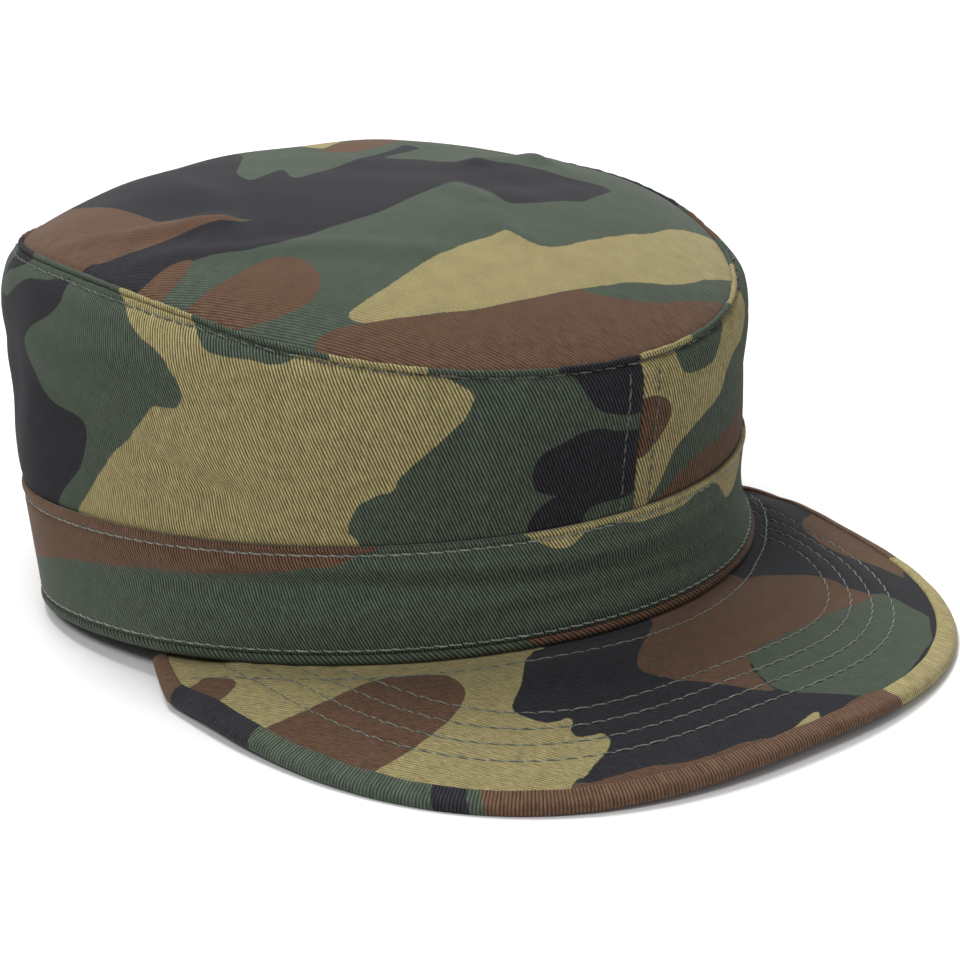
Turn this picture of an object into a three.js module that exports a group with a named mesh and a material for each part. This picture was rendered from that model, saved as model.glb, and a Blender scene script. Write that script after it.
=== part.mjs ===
// A soft patrol cap in twill cloth, lying on a table as it rests by itself.
// Millimetres, +Z up. The peak points along -Y and the wearer's left is +X.
// Every piece is drawn in the cap's own frame, whose plane z = 0 is the lower edge of the cap,
// and the whole cap then leans back on the table until the peak and the back of the rim both touch.

import * as THREE from 'three';

const radians = THREE.MathUtils.degToRad;
const lerp = THREE.MathUtils.lerp;

// Head opening: distances from the middle of the head to the outside of the band's lower edge
const RIM_FRONT = 101.9;
const RIM_BACK = 96;
const RIM_SIDE = 94.7;
const RIM_SQUARENESS = 1;
const RIM_WAVE = 0.8;

// Rolled welt under the band, and the band itself
const WELT_RADIUS = 1.1;
const BAND_HEIGHT = 25.2;
const BAND_WALL = 1.2;
const BAND_LEAN_FRONT = 1.1;
const BAND_LEAN_BACK = 1.9;
const BAND_LEAN_SIDE = 1.8;
const BAND_FORWARD = 0.8;
const BAND_SQUARENESS = 0.6;
const BAND_EDGE_ROUNDING = 0.5;

// Crown sides: cloth height above the band, and how far the top seam stands outside the rim
const CROWN_HEIGHT_FRONT = 37.6;
const CROWN_HEIGHT_BACK = 48.5;
const CROWN_HEIGHT_SIDE = 54.5;
const SEAM_OUT_FRONT = 1.8;
const SEAM_OUT_BACK = 1.8;
const SEAM_OUT_SIDE = -13.3;
const SEAM_FORWARD = 1.3;
const CROWN_WALL = 1.3;
const CROWN_TUCK = 7;
const BELLY_FRONT = 0.4;
const BELLY_BACK = 3.6;
const BELLY_SIDE = 2.4;
const SHOULDER_FRONT = 1.6;
const SHOULDER_BACK = 3.7;
const SHOULDER_SIDE = 3.5;
const BELLY_FULLNESS = 0.7;
const SHOULDER_LIFT = 2.8;
const SEAM_ROLL_RADIUS = 1.25;
const CENTRE_SEAM_GAP = 0.3;

// Crown top: how high it is domed over its seam
const TOP_WALL = 1.3;
const TOP_DOME = 19.5;
const TOP_DOME_POWER = 3;
const TOP_FOLD_FADE = 4;

// Peak: reach ahead of the band, and the shape and fall of its edge
const VISOR_REACH = 55.5;
const VISOR_OVERHANG = 2.9;
const VISOR_SIDE_START = 48;
const VISOR_FULLNESS = 2.56;
const VISOR_CORNER_IN = 9;
const VISOR_CORNER_BACK = 15;
const VISOR_WALL = 1.8;
const VISOR_SLOPE = 0.265;
const VISOR_ARCH = 2;
const VISOR_LIP = 3.1;
const VISOR_LIP_RUN = 6;
const VISOR_END_FROM = radians(56);
const VISOR_END_TO = radians(63);
const VISOR_TUCK = 5;
const BINDING_WIDTH = 7.5;
const BINDING_WALL = 1;
const BINDING_END_OUT = 0.6;

// Clearance between neighbouring pieces, and how far soft edges flatten on the table
const GAP = 0.3;
const TABLE_PRESS = 0.75;

// Facets
const RING_STEPS = 72;
const SIDE_STEPS = 36;
const TOP_RINGS = 7;
const VISOR_STEPS = 40;
const VISOR_ROWS = 5;
const WELT_SIDES = 8;
const BAND_ROWS = [0, 0.02, 0.25, 0.5, 0.75, 0.98, 1];
const SIDE_ROWS = [0, 0.12, 0.26, 0.4, 0.54, 0.66, 0.77, 0.86, 0.94];
const HALVINGS = 40;
const STEEPEST_LEAN = radians(20);

// Soft dents in the crown sides. Angle from the front towards the wearer's left, height as a
// share of the crown's height, spans as shares of half a turn and of the height, depth as a
// share of the shoulder's bulge (positive stands out).
const SIDE_FOLDS = [
  { angle: -78, height: 0.16, across: 0.09, along: 0.3, depth: -0.5 },
  { angle: -112, height: 0.5, across: 0.03, along: 0.5, depth: -0.25 },
  { angle: -140, height: 0.6, across: 0.12, along: 0.08, depth: -0.35 },
  { angle: 42, height: 0.45, across: 0.04, along: 0.4, depth: -0.4 },
  { angle: 96, height: 0.3, across: 0.08, along: 0.3, depth: -0.7 },
  { angle: 160, height: 0.4, across: 0.07, along: 0.3, depth: -0.6 },
];

// Soft swells and hollows in the top. Place as angle and share of the radius, spans as shares
// of the radius, turned by heading, height as a share of the dome.
const TOP_FOLDS = [
  { angle: 100, out: 0.85, length: 0.5, width: 0.28, heading: 10, height: -0.25 },
  { angle: 25, out: 0.35, length: 0.42, width: 0.1, heading: 40, height: 0.09 },
  { angle: -95, out: 0.55, length: 0.5, width: 0.09, heading: 75, height: 0.1 },
  { angle: -70, out: 0.62, length: 0.35, width: 0.08, heading: 60, height: -0.1 },
];

// Oval that passes through given values at the front, back and sides. Square fills out its
// corners, and forward shifts its widest place towards the front.
function oval({ front, back, side, square = 0, forward = 0 }, angle) {
  const ends = (front + back) / 2;
  const stretch = (ends - side) / 2;
  const tilt = (front - back) / 2 - forward;
  return (ends + side) / 2 - square
    + tilt * Math.cos(angle)
    + stretch * Math.cos(2 * angle)
    + forward * Math.cos(3 * angle)
    + square * Math.cos(4 * angle);
}

const RIM = { front: RIM_FRONT, back: RIM_BACK, side: RIM_SIDE, square: RIM_SQUARENESS };
const BAND_HEAD = {
  front: RIM_FRONT - BAND_LEAN_FRONT,
  back: RIM_BACK - BAND_LEAN_BACK,
  side: RIM_SIDE - BAND_LEAN_SIDE,
  square: BAND_SQUARENESS,
  forward: BAND_FORWARD,
};
const SEAM = {
  front: RIM_FRONT + SEAM_OUT_FRONT,
  back: RIM_BACK + SEAM_OUT_BACK,
  side: RIM_SIDE + SEAM_OUT_SIDE,
  forward: SEAM_FORWARD,
};
const CROWN_HEIGHTS = { front: CROWN_HEIGHT_FRONT, back: CROWN_HEIGHT_BACK, side: CROWN_HEIGHT_SIDE };
const BELLY = { front: BELLY_FRONT, back: BELLY_BACK, side: BELLY_SIDE };
const SHOULDER = { front: SHOULDER_FRONT, back: SHOULDER_BACK, side: SHOULDER_SIDE };
const BAND_BOTTOM = 2 * WELT_RADIUS + GAP;
const BAND_TOP = BAND_BOTTOM + BAND_HEIGHT;

function polar(angle, radius, z) {
  return new THREE.Vector3(radius * Math.sin(angle), -radius * Math.cos(angle), z);
}

function rimRadius(angle) {
  return oval(RIM, angle);
}

function rimHeight(angle) {
  return RIM_WAVE * Math.cos(2 * angle);
}

// Outside of the band at a height above its own lower edge
function bandRadius(angle, above) {
  return lerp(rimRadius(angle), oval(BAND_HEAD, angle), above / BAND_HEIGHT);
}

function seamRadius(angle) {
  return oval(SEAM, angle);
}

function seamHeight(angle) {
  return BAND_TOP + oval(CROWN_HEIGHTS, angle);
}

function bell(x) {
  return Math.exp(-x * x);
}

function turnBetween(a, b) {
  return Math.atan2(Math.sin(a - b), Math.cos(a - b));
}

function sideFold(angle, share) {
  let depth = 0;
  for (const fold of SIDE_FOLDS) {
    const across = turnBetween(angle, radians(fold.angle)) / (fold.across * Math.PI);
    depth += fold.depth * SHOULDER_SIDE * bell(across) * bell((share - fold.height) / fold.along);
  }
  return depth * Math.sin(Math.PI * share);
}

// Outside of the crown wall, share 0 at the band's upper edge and 1 at the top seam
function crownRadius(angle, share) {
  const foot = bandRadius(angle, BAND_HEIGHT) - BAND_WALL - GAP;
  const head = seamRadius(angle) - SEAM_ROLL_RADIUS / 2;
  const belly = oval(BELLY, angle) * Math.sin(Math.PI * share) ** BELLY_FULLNESS;
  const shoulder = oval(SHOULDER, angle) * Math.sin(Math.PI * share ** SHOULDER_LIFT);
  return lerp(foot, head, share) + belly + shoulder + sideFold(angle, share);
}

function topFold(x, y) {
  let height = 0;
  for (const fold of TOP_FOLDS) {
    const centre = polar(radians(fold.angle), fold.out, 0);
    const turn = radians(fold.heading);
    const along = (x - centre.x) * Math.cos(turn) + (y - centre.y) * Math.sin(turn);
    const across = (y - centre.y) * Math.cos(turn) - (x - centre.x) * Math.sin(turn);
    height += fold.height * TOP_DOME * bell(along / fold.length) * bell(across / fold.width);
  }
  return height;
}

// Upper face of the crown top at a share of the way from the middle to its edge
function topHeight(angle, share) {
  const ends = (CROWN_HEIGHT_FRONT + CROWN_HEIGHT_BACK) / 2;
  const level = BAND_TOP + (ends + CROWN_HEIGHT_SIDE) / 2;
  const tilt = (CROWN_HEIGHT_FRONT - CROWN_HEIGHT_BACK) / 2 * share * Math.cos(angle);
  const saddle = (ends - CROWN_HEIGHT_SIDE) / 2 * share ** 2 * Math.cos(2 * angle);
  const rise = 1 - share ** TOP_DOME_POWER;
  const folds = topFold(share * Math.sin(angle), -share * Math.cos(angle));
  return level + tilt + saddle + TOP_DOME * rise + folds * (1 - share ** TOP_FOLD_FADE);
}

// Solid between two faces given as rows of points. Each section holds an outer and an inner row
// with as many points. A closed sweep joins its last section to its first, an open one is capped.
function shellSolid(sections, closed) {
  const positions = [];
  const faces = [];
  const count = sections[0].outer.length;
  const outer = (i, j) => (i % sections.length) * 2 * count + j;
  const inner = (i, j) => outer(i, j) + count;
  const quad = (a, b, c, d) => faces.push(a, b, c, a, c, d);
  for (const section of sections) {
    for (const point of [...section.outer, ...section.inner]) {
      positions.push(point.x, point.y, point.z);
    }
  }
  const spans = closed ? sections.length : sections.length - 1;
  for (let i = 0; i < spans; i += 1) {
    for (let j = 0; j < count - 1; j += 1) {
      quad(outer(i, j), outer(i + 1, j), outer(i + 1, j + 1), outer(i, j + 1));
      quad(inner(i, j + 1), inner(i + 1, j + 1), inner(i + 1, j), inner(i, j));
    }
    quad(inner(i, 0), inner(i + 1, 0), outer(i + 1, 0), outer(i, 0));
    quad(outer(i, count - 1), outer(i + 1, count - 1), inner(i + 1, count - 1), inner(i, count - 1));
  }
  if (!closed) {
    const last = sections.length - 1;
    for (let j = 0; j < count - 1; j += 1) {
      quad(outer(0, j), outer(0, j + 1), inner(0, j + 1), inner(0, j));
      quad(inner(last, j), inner(last, j + 1), outer(last, j + 1), outer(last, j));
    }
  }
  return meshGeometry(positions, faces);
}

function meshGeometry(positions, faces) {
  const geometry = new THREE.BufferGeometry();
  geometry.setAttribute('position', new THREE.Float32BufferAttribute(positions, 3));
  geometry.setIndex(faces);
  geometry.computeVertexNormals();
  return geometry;
}

// Evenly spaced angles from the first to the last, both included
function angles(from, to, steps) {
  return Array.from({ length: steps + 1 }, (_, i) => lerp(from, to, i / steps));
}

function fullTurn(steps) {
  return angles(0, 2 * Math.PI, steps).slice(0, -1);
}

function weltGeometry() {
  const section = (angle) => {
    const centre = rimRadius(angle) - WELT_RADIUS;
    const point = (turn) => polar(
      angle,
      centre + WELT_RADIUS * Math.cos(turn),
      rimHeight(angle) + WELT_RADIUS + WELT_RADIUS * Math.sin(turn),
    );
    const step = 2 * Math.PI / WELT_SIDES;
    const half = Array.from({ length: WELT_SIDES / 2 }, (_, i) => (i + 0.5) * step - Math.PI / 2);
    return { outer: half.map(point), inner: half.map((turn) => point(Math.PI - turn)) };
  };
  return shellSolid(fullTurn(RING_STEPS).map(section), true);
}

function bandGeometry() {
  const section = (angle) => {
    const at = (above, inset) => polar(
      angle,
      bandRadius(angle, above) - inset,
      BAND_BOTTOM + rimHeight(angle) * (1 - above / BAND_HEIGHT) + above,
    );
    const heights = BAND_ROWS.map((share) => share * BAND_HEIGHT);
    const ends = [0, heights.length - 1];
    const outer = heights.map((above, i) => at(above, ends.includes(i) ? BAND_EDGE_ROUNDING : 0));
    const inner = heights.map((above) => at(above, BAND_WALL));
    return { outer, inner };
  };
  return shellSolid(fullTurn(RING_STEPS).map(section), true);
}

// Turned edge of the crown wall, where the top is sewn in, as points across and up from the seam
const ROLL_OUTER = [
  { across: 0, up: 0 },
  { across: -0.3, up: 0.7 },
  { across: -1, up: 1 },
];
const ROLL_INNER = [
  { across: -2, up: -0.6 },
  { across: -2, up: 0 },
  { across: -1.7, up: 0.7 },
];

function crownSideGeometry(from, to) {
  const section = (angle) => {
    const foot = BAND_TOP - CROWN_TUCK;
    const tucked = bandRadius(angle, BAND_HEIGHT - CROWN_TUCK) - BAND_WALL - GAP;
    const wall = (inset) => [
      polar(angle, tucked - inset, foot),
      ...SIDE_ROWS.map((share) => polar(
        angle,
        crownRadius(angle, share) - inset,
        lerp(BAND_TOP, seamHeight(angle), share),
      )),
    ];
    const roll = (points) => points.map(({ across, up }) => polar(
      angle,
      seamRadius(angle) + across * SEAM_ROLL_RADIUS,
      seamHeight(angle) + up * SEAM_ROLL_RADIUS,
    ));
    return {
      outer: [...wall(0), ...roll(ROLL_OUTER)],
      inner: [...wall(CROWN_WALL), ...roll(ROLL_INNER)],
    };
  };
  return shellSolid(angles(from, to, SIDE_STEPS).map(section), false);
}

function crownTopGeometry() {
  const positions = [];
  const faces = [];
  const turns = fullTurn(RING_STEPS);
  const add = (point) => positions.push(point.x, point.y, point.z);
  for (const drop of [0, TOP_WALL]) {
    add(new THREE.Vector3(0, 0, topHeight(0, 0) - drop));
    for (let ring = 1; ring <= TOP_RINGS; ring += 1) {
      const share = ring / TOP_RINGS;
      for (const angle of turns) {
        const edge = seamRadius(angle) - 2 * SEAM_ROLL_RADIUS - GAP;
        add(polar(angle, share * edge, topHeight(angle, share) - drop));
      }
    }
  }
  const layer = 1 + TOP_RINGS * turns.length;
  const at = (side, ring, i) => side * layer + 1 + (ring - 1) * turns.length + i % turns.length;
  for (let i = 0; i < turns.length; i += 1) {
    faces.push(0, at(0, 1, i), at(0, 1, i + 1));
    faces.push(layer, at(1, 1, i + 1), at(1, 1, i));
    for (let ring = 1; ring < TOP_RINGS; ring += 1) {
      const upper = [at(0, ring, i), at(0, ring + 1, i), at(0, ring + 1, i + 1), at(0, ring, i + 1)];
      const lower = [at(1, ring, i), at(1, ring, i + 1), at(1, ring + 1, i + 1), at(1, ring + 1, i)];
      for (const [a, b, c, d] of [upper, lower]) {
        faces.push(a, b, c, a, c, d);
      }
    }
    const [a, b] = [at(0, TOP_RINGS, i), at(0, TOP_RINGS, i + 1)];
    const [c, d] = [at(1, TOP_RINGS, i + 1), at(1, TOP_RINGS, i)];
    faces.push(a, d, c, a, c, b);
  }
  return meshGeometry(positions, faces);
}

// Distance of a point of the plan outside the rim
function outsideRim(x, y) {
  return Math.hypot(x, y) - rimRadius(Math.atan2(x, -y));
}

// Upper face of the peak over a point of the plan: a small lip by the welt, then an even fall
function visorHeight(x, y) {
  const angle = Math.atan2(x, -y);
  const out = Math.max(0, outsideRim(x, y));
  const settled = 1 - bell(out / VISOR_LIP_RUN);
  const arch = VISOR_ARCH * (x / RIM_SIDE) ** 2 * settled;
  const end = THREE.MathUtils.smoothstep(Math.abs(angle), VISOR_END_FROM, VISOR_END_TO);
  return rimHeight(angle) - GAP + VISOR_LIP * settled - VISOR_SLOPE * out - arch
    - (BINDING_WALL + GAP) * end;
}

// Outer edge of the peak in plan, from the wearer's right round the front to the left
class VisorEdge extends THREE.Curve {
  constructor() {
    super();
    this.arcLengthDivisions = 2000;
    this.halfWidth = RIM_SIDE + VISOR_OVERHANG;
    this.cornerEnd = this.findCornerEnd();
  }

  cornerPoint(turn) {
    const x = this.halfWidth - VISOR_CORNER_IN * (1 - Math.cos(turn));
    return new THREE.Vector3(x, -VISOR_SIDE_START + VISOR_CORNER_BACK * Math.sin(turn), 0);
  }

  // The corner runs in until it is just outside the rim
  findCornerEnd() {
    let [low, high] = [0, Math.PI / 2];
    for (let i = 0; i < HALVINGS; i += 1) {
      const turn = (low + high) / 2;
      const point = this.cornerPoint(turn);
      if (outsideRim(point.x, point.y) > BINDING_END_OUT) {
        low = turn;
      } else {
        high = turn;
      }
    }
    return low;
  }

  halfPoint(turn) {
    if (turn > Math.PI / 2) {
      return this.cornerPoint(turn - Math.PI / 2);
    }
    const reach = RIM_FRONT + VISOR_REACH - VISOR_SIDE_START;
    const x = this.halfWidth * Math.sin(turn) ** (2 / VISOR_FULLNESS);
    const y = -VISOR_SIDE_START - reach * Math.abs(Math.cos(turn)) ** (2 / VISOR_FULLNESS);
    return new THREE.Vector3(x, y, 0);
  }

  getPoint(t) {
    const turn = (2 * t - 1) * (Math.PI / 2 + this.cornerEnd);
    const point = this.halfPoint(Math.abs(turn));
    point.x *= Math.sign(turn);
    return point;
  }
}

// Stations along the peak's edge, each with its place and its direction towards the head
function visorStations() {
  const points = new VisorEdge().getSpacedPoints(VISOR_STEPS);
  return points.map((place, i) => {
    const before = points[Math.max(0, i - 1)];
    const after = points[Math.min(points.length - 1, i + 1)];
    const inward = new THREE.Vector3(before.y - after.y, after.x - before.x, 0).normalize();
    return { place, inward };
  });
}

function onVisor(place, lift) {
  return new THREE.Vector3(place.x, place.y, visorHeight(place.x, place.y) + lift);
}

function visorGeometry() {
  const stations = visorStations();
  const first = stations[0].place;
  const reach = Math.atan2(first.x, -first.y);
  const sections = stations.map(({ place, inward }, i) => {
    const angle = lerp(reach, -reach, i / (stations.length - 1));
    const root = polar(angle, rimRadius(angle) - VISOR_TUCK, 0);
    const edge = place.clone().addScaledVector(inward, BINDING_WALL + VISOR_WALL / 2 + GAP);
    const rows = Array.from({ length: VISOR_ROWS + 1 }, (_, row) => row / VISOR_ROWS);
    const places = rows.map((share) => edge.clone().lerp(root, share));
    return {
      outer: places.map((at) => onVisor(at, 0)),
      inner: places.map((at) => onVisor(at, -VISOR_WALL)),
    };
  });
  return shellSolid(sections, false);
}

// Section of the folded edge: inset from the peak's rim and height over the middle of the peak.
// Its rounding starts at a share of its half thickness, and one more point lies on each leg.
const BINDING_ROUNDING = { in: 0.3, up: 0.7 };
const BINDING_MID = 0.7;

function bindingSection() {
  const outerHalf = VISOR_WALL / 2 + GAP + BINDING_WALL;
  const innerHalf = VISOR_WALL / 2 + GAP;
  const fold = (half, depth) => [
    { inset: BINDING_WIDTH, up: -half },
    { inset: BINDING_MID * BINDING_WIDTH, up: -half },
    { inset: depth + half, up: -half },
    { inset: depth + BINDING_ROUNDING.in * half, up: -BINDING_ROUNDING.up * half },
    { inset: depth, up: 0 },
    { inset: depth + BINDING_ROUNDING.in * half, up: BINDING_ROUNDING.up * half },
    { inset: depth + half, up: half },
    { inset: BINDING_MID * BINDING_WIDTH, up: half },
    { inset: BINDING_WIDTH, up: half },
  ];
  return { outer: fold(outerHalf, 0), inner: fold(innerHalf, BINDING_WALL) };
}

function bindingGeometry() {
  const section = bindingSection();
  const sections = visorStations().map(({ place, inward }) => {
    const put = ({ inset, up }) => {
      const at = place.clone().addScaledVector(inward, inset);
      return onVisor(at, up - VISOR_WALL / 2);
    };
    return { outer: section.outer.map(put), inner: section.inner.map(put) };
  });
  return shellSolid(sections, false);
}

// Height of a point over the table when the cap leans back by an angle
function tableNormal(lean) {
  return new THREE.Vector3(0, -Math.sin(lean), Math.cos(lean));
}

function lowest(geometry, lean) {
  const normal = tableNormal(lean);
  const point = new THREE.Vector3();
  const place = geometry.getAttribute('position');
  let low = Infinity;
  for (let i = 0; i < place.count; i += 1) {
    low = Math.min(low, point.fromBufferAttribute(place, i).dot(normal));
  }
  return low;
}

// The cap leans until the bound edge of the peak is as low as the welt at the back
function restingLean(front, back) {
  let [low, high] = [-STEEPEST_LEAN, STEEPEST_LEAN];
  for (let i = 0; i < HALVINGS; i += 1) {
    const lean = (low + high) / 2;
    if (lowest(front, lean) < lowest(back, lean)) {
      low = lean;
    } else {
      high = lean;
    }
  }
  return low;
}

// Cloth that would sink into the table lies flat on it
function pressFlat(geometry, lean, floor) {
  const normal = tableNormal(lean);
  const point = new THREE.Vector3();
  const place = geometry.getAttribute('position');
  for (let i = 0; i < place.count; i += 1) {
    point.fromBufferAttribute(place, i);
    point.addScaledVector(normal, Math.max(0, floor - point.dot(normal)));
    place.setXYZ(i, point.x, point.y, point.z);
  }
}

function cloth(color, roughness) {
  return new THREE.MeshStandardMaterial({ color, roughness, metalness: 0 });
}

const seamTurn = CENTRE_SEAM_GAP / 2 / RIM_SIDE;
const PIECES = [
  { name: 'crown_top', geometry: crownTopGeometry(), material: cloth(0x46503a, 0.9) },
  {
    name: 'crown_side_right',
    geometry: crownSideGeometry(Math.PI + seamTurn, 2 * Math.PI - seamTurn),
    material: cloth(0x8a8058, 0.9),
  },
  {
    name: 'crown_side_left',
    geometry: crownSideGeometry(seamTurn, Math.PI - seamTurn),
    material: cloth(0x8a8058, 0.9),
  },
  { name: 'band', geometry: bandGeometry(), material: cloth(0x3c4a36, 0.88) },
  { name: 'bottom_welt', geometry: weltGeometry(), material: cloth(0x4a3a30, 0.9) },
  { name: 'visor', geometry: visorGeometry(), material: cloth(0x5a4034, 0.85) },
  { name: 'visor_binding', geometry: bindingGeometry(), material: cloth(0x4c3c32, 0.85) },
];

const geometryOf = (name) => PIECES.find((piece) => piece.name === name).geometry;
const lean = restingLean(geometryOf('visor_binding'), geometryOf('bottom_welt'));
const floor = lowest(geometryOf('bottom_welt'), lean) + TABLE_PRESS;
pressFlat(geometryOf('visor_binding'), lean, floor);
pressFlat(geometryOf('bottom_welt'), lean, floor);

const leaning = new THREE.Group();
leaning.rotation.x = -lean;
for (const { name, geometry, material } of PIECES) {
  const mesh = new THREE.Mesh(geometry, material);
  mesh.name = name;
  leaning.add(mesh);
}

const cap = new THREE.Group();
cap.name = 'patrol_cap';
cap.add(leaning);
const box = new THREE.Box3().setFromObject(cap, true);
const centre = box.getCenter(new THREE.Vector3());
leaning.position.set(-centre.x, -centre.y, -box.min.z);

export default cap;
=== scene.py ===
# A soft patrol cap in printed cotton twill, lying on a pale floor.
# Sewn pieces are drawn in millimetres in the cap's own frame: the peak points along -Y, the
# wearer's left is +X and z = 0 is the lower edge of the cap. settled() leans them back on the
# floor as the frame does and turns them into metres.

import math

import bmesh
import bpy
import numpy as np
from mathutils import Matrix, Vector


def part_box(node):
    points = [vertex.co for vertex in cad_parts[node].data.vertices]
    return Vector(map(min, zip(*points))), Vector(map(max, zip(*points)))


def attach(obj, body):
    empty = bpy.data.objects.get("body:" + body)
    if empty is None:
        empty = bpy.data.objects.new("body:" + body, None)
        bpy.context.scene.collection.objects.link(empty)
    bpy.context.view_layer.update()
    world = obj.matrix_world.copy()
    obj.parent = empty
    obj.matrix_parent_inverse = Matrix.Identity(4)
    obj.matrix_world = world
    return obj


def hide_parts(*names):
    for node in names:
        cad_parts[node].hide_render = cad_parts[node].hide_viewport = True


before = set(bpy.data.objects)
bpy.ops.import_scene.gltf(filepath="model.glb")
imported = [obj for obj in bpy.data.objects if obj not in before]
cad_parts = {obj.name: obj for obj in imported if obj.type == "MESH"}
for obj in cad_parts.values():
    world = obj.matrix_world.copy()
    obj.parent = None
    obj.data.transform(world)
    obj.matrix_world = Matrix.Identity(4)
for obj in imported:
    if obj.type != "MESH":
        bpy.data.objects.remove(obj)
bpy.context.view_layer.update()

MM = 0.001
LEAN = math.radians(3.859)

# Head opening, welt and band
RIM = dict(front=101.9, back=96.0, side=94.7, square=1.0)
RIM_WAVE = 0.8
WELT_RADIUS = 1.1
WELT_HALF_WIDTH = 1.1 * WELT_RADIUS
WELT_HALF_HEIGHT = 1.15 * WELT_RADIUS
WELT_UNEVEN = 0.12
BAND_HEIGHT = 25.2
BAND_HEAD = dict(front=100.8, back=94.1, side=92.9, square=0.6, forward=0.8)
BAND_WALL = 1.2
GAP = 0.3
BAND_BOTTOM = 2 * WELT_RADIUS + GAP
BAND_TOP = BAND_BOTTOM + BAND_HEIGHT

# Crown
CROWN_HEIGHTS = dict(front=37.6, back=48.5, side=54.5)
SEAM = dict(front=103.7, back=97.8, side=81.4, forward=1.3)
SEAM_DIP = 0.8
SEAM_DIP_RISES = (-1.15, -0.85)
SEAM_DIP_ENDS = (1.3, 2.1)
FLAT_SEAM_STARTS = (80, 125)
FLAT_SEAM_ENDS = (215, 260)
LEFT_TEMPLE = 1.25
TEMPLE_FULLNESS = 1.0
TEMPLE_SPAN = 0.32
BELLY = dict(front=0.4, back=3.6, side=2.4)
SHOULDER = dict(front=1.6, back=3.7, side=3.5)
BELLY_FULLNESS = 0.7
SHOULDER_LIFT = 2.8
CROWN_WALL = 1.3
TUCK_ROWS = (7.0, 4.0, 1.5)
WALL_PAST_DITCH = 0.45
ROLL_RADIUS = 0.7
ROLL_LIFT = 0.05
ROLL_TURNS = (-58, 200)
ROLL_CHART_TURN = 262
ROLL_END_THINNER = 0.35
ROLL_END_SPAN = 1.2
SEAM_PINCH = 0.35
PINCH_AT = -75
PINCH_SPAN = 12
HEM_DROPS = (0.6, 3.0)
HEM_INSIDE = 0.3
HEM_LIFT = 0.4
DITCH_BELOW = 1.05
DITCH_DROP = 0.8
DITCH_DEPTH = 0.85
DITCH_FLATTER = 0.55
DITCH_SPAN = 0.6
SEAM_RIDGE = (4.2, 1.8, 0.22)
PUCKER_RUN = 1.02
PUCKER_SHARE = 0.35
PUCKER_SPAN = 1.5
ROW_DITCH = 0.2
ROW_DITCH_SPAN = 0.6
LAP_THICKNESS = 0.22
LAP_GROOVE = 0.4
LAP_GROOVE_SPAN = 0.5
LAP_OUTSIDE_ROW = 1.2
LAP_INSIDE_ROW = 0.4
TOP_DOME = 19.5
TOP_DOME_POWER = 3
TOP_FOLD_FADE = 4
TOP_WALL = 1.3
TOP_INSIDE_ROLL = 1.5
TOP_EDGE_SINK = 0.3
TOP_EDGE_SPAN = 0.8

# How strongly each cloth takes the small unevenness of ripple()
SIDE_RIPPLE = 1.6
RIPPLE_FADE = (2, 10)
TOP_RIPPLE = 1.8
BAND_RIPPLE = 0.9
PEAK_RIPPLE = 0.5

# Peak
VISOR_REACH = 55.5
VISOR_OVERHANG = 2.9
VISOR_SIDE_START = 48.0
VISOR_FULLNESS = 2.56
VISOR_CORNER_IN = 7.8
VISOR_CORNER_BEND = 1.15
VISOR_CORNER_BACK = 19.0
VISOR_LEFT_IN = (-76, 22, 2.4)
VISOR_WALL = 1.8
VISOR_SLOPE = 0.265
VISOR_ARCH = 2.0
VISOR_LIP = 3.1
VISOR_LIP_RUN = 6.0
VISOR_END_FROM = math.radians(56)
VISOR_END_TO = math.radians(63)
VISOR_TUCK = 5.0
BINDING_WIDTH = 6.2
BINDING_WALL = 1.0
FOLD_FROM = 2.2
FOLD_OUTSIDE = 0.6
FOLD_INSIDE = 0.12
FOLD_WALL = 0.7 * BINDING_WALL
FOLD_FULLNESS = 1.1
FOLD_HEM = 0.62
FOLD_PUCKER = 0.07
FOLD_BIAS = 0.35
BINDING_END_OUT = 0.6
# Width of the binding on top, along its run from the wearer's right
BINDING_WIDTHS = [
    (0, 3.2), (16, 4.2), (34, 5.4), (120, 5.4), (185, 4.6), (250, 5.2), (320, 3.6), (400, 3.0),
]

# Cloth is charted along the side in millimetres of this radius times the angle from the front
CHART_RADIUS = 97.0

# Columns and rows of the shells. Rows are given as steps up to each height.
SIDE_COLUMNS = 262
SIDE_ROWS = (0.0, (34, 0.88), (18, 1.0))
ROLL_ROWS = 15
TOP_COLUMNS = 400
TOP_ROWS = (1.0, (13, 0.9), (61, 0.012))
BAND_COLUMNS = 520
BAND_ROWS = (0.0, (5, 2.0), (18, 21.0), (12, BAND_HEIGHT))
WELT_HALF_ROWS = 12
PEAK_STEPS = 330
PEAK_ROWS = 58
BINDING_STEPS = 420
BINDING_BEND_ROWS = 13
BINDING_LEG_ROWS = 7
EDGE_STEPS = 900

# Seams and their stitches
STITCH_PITCH = 3.2
STITCH_LENGTH = 2.8
THREAD = 0.42
PEAK_STITCH_PITCH = 3.9
PEAK_STITCH_LENGTH = 3.6
PEAK_THREAD = 0.36
PEAK_DITCH = 0.22
PEAK_DITCH_SPAN = 0.9
STITCH_SLANT = math.radians(-6)
BAND_TOP_ROW = 22.6
BAND_TOP_ROW_RISE = 0.7
BAND_LOW_ROW = 0.9
# Ditches and ridges along the band: height, span and distance out
BAND_ROW_DITCH = (0, 0.8, -0.5)
BAND_ROW_RIDGE = (1.5, 0.8, 0.2)
BAND_LOW_DITCH = (BAND_LOW_ROW, 0.8, -0.35)
BAND_HEAD_TURN = (BAND_HEIGHT, 0.45, -0.5)
BAND_FOOT_TURN = (0, 0.5, -0.4)
FRONT_ROWS = (-3.8, 4.4)
BACK_ROWS = (-4.0, 4.0)
VISOR_ROWS = (15.0, 20.15, 25.3, 30.6)
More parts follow.
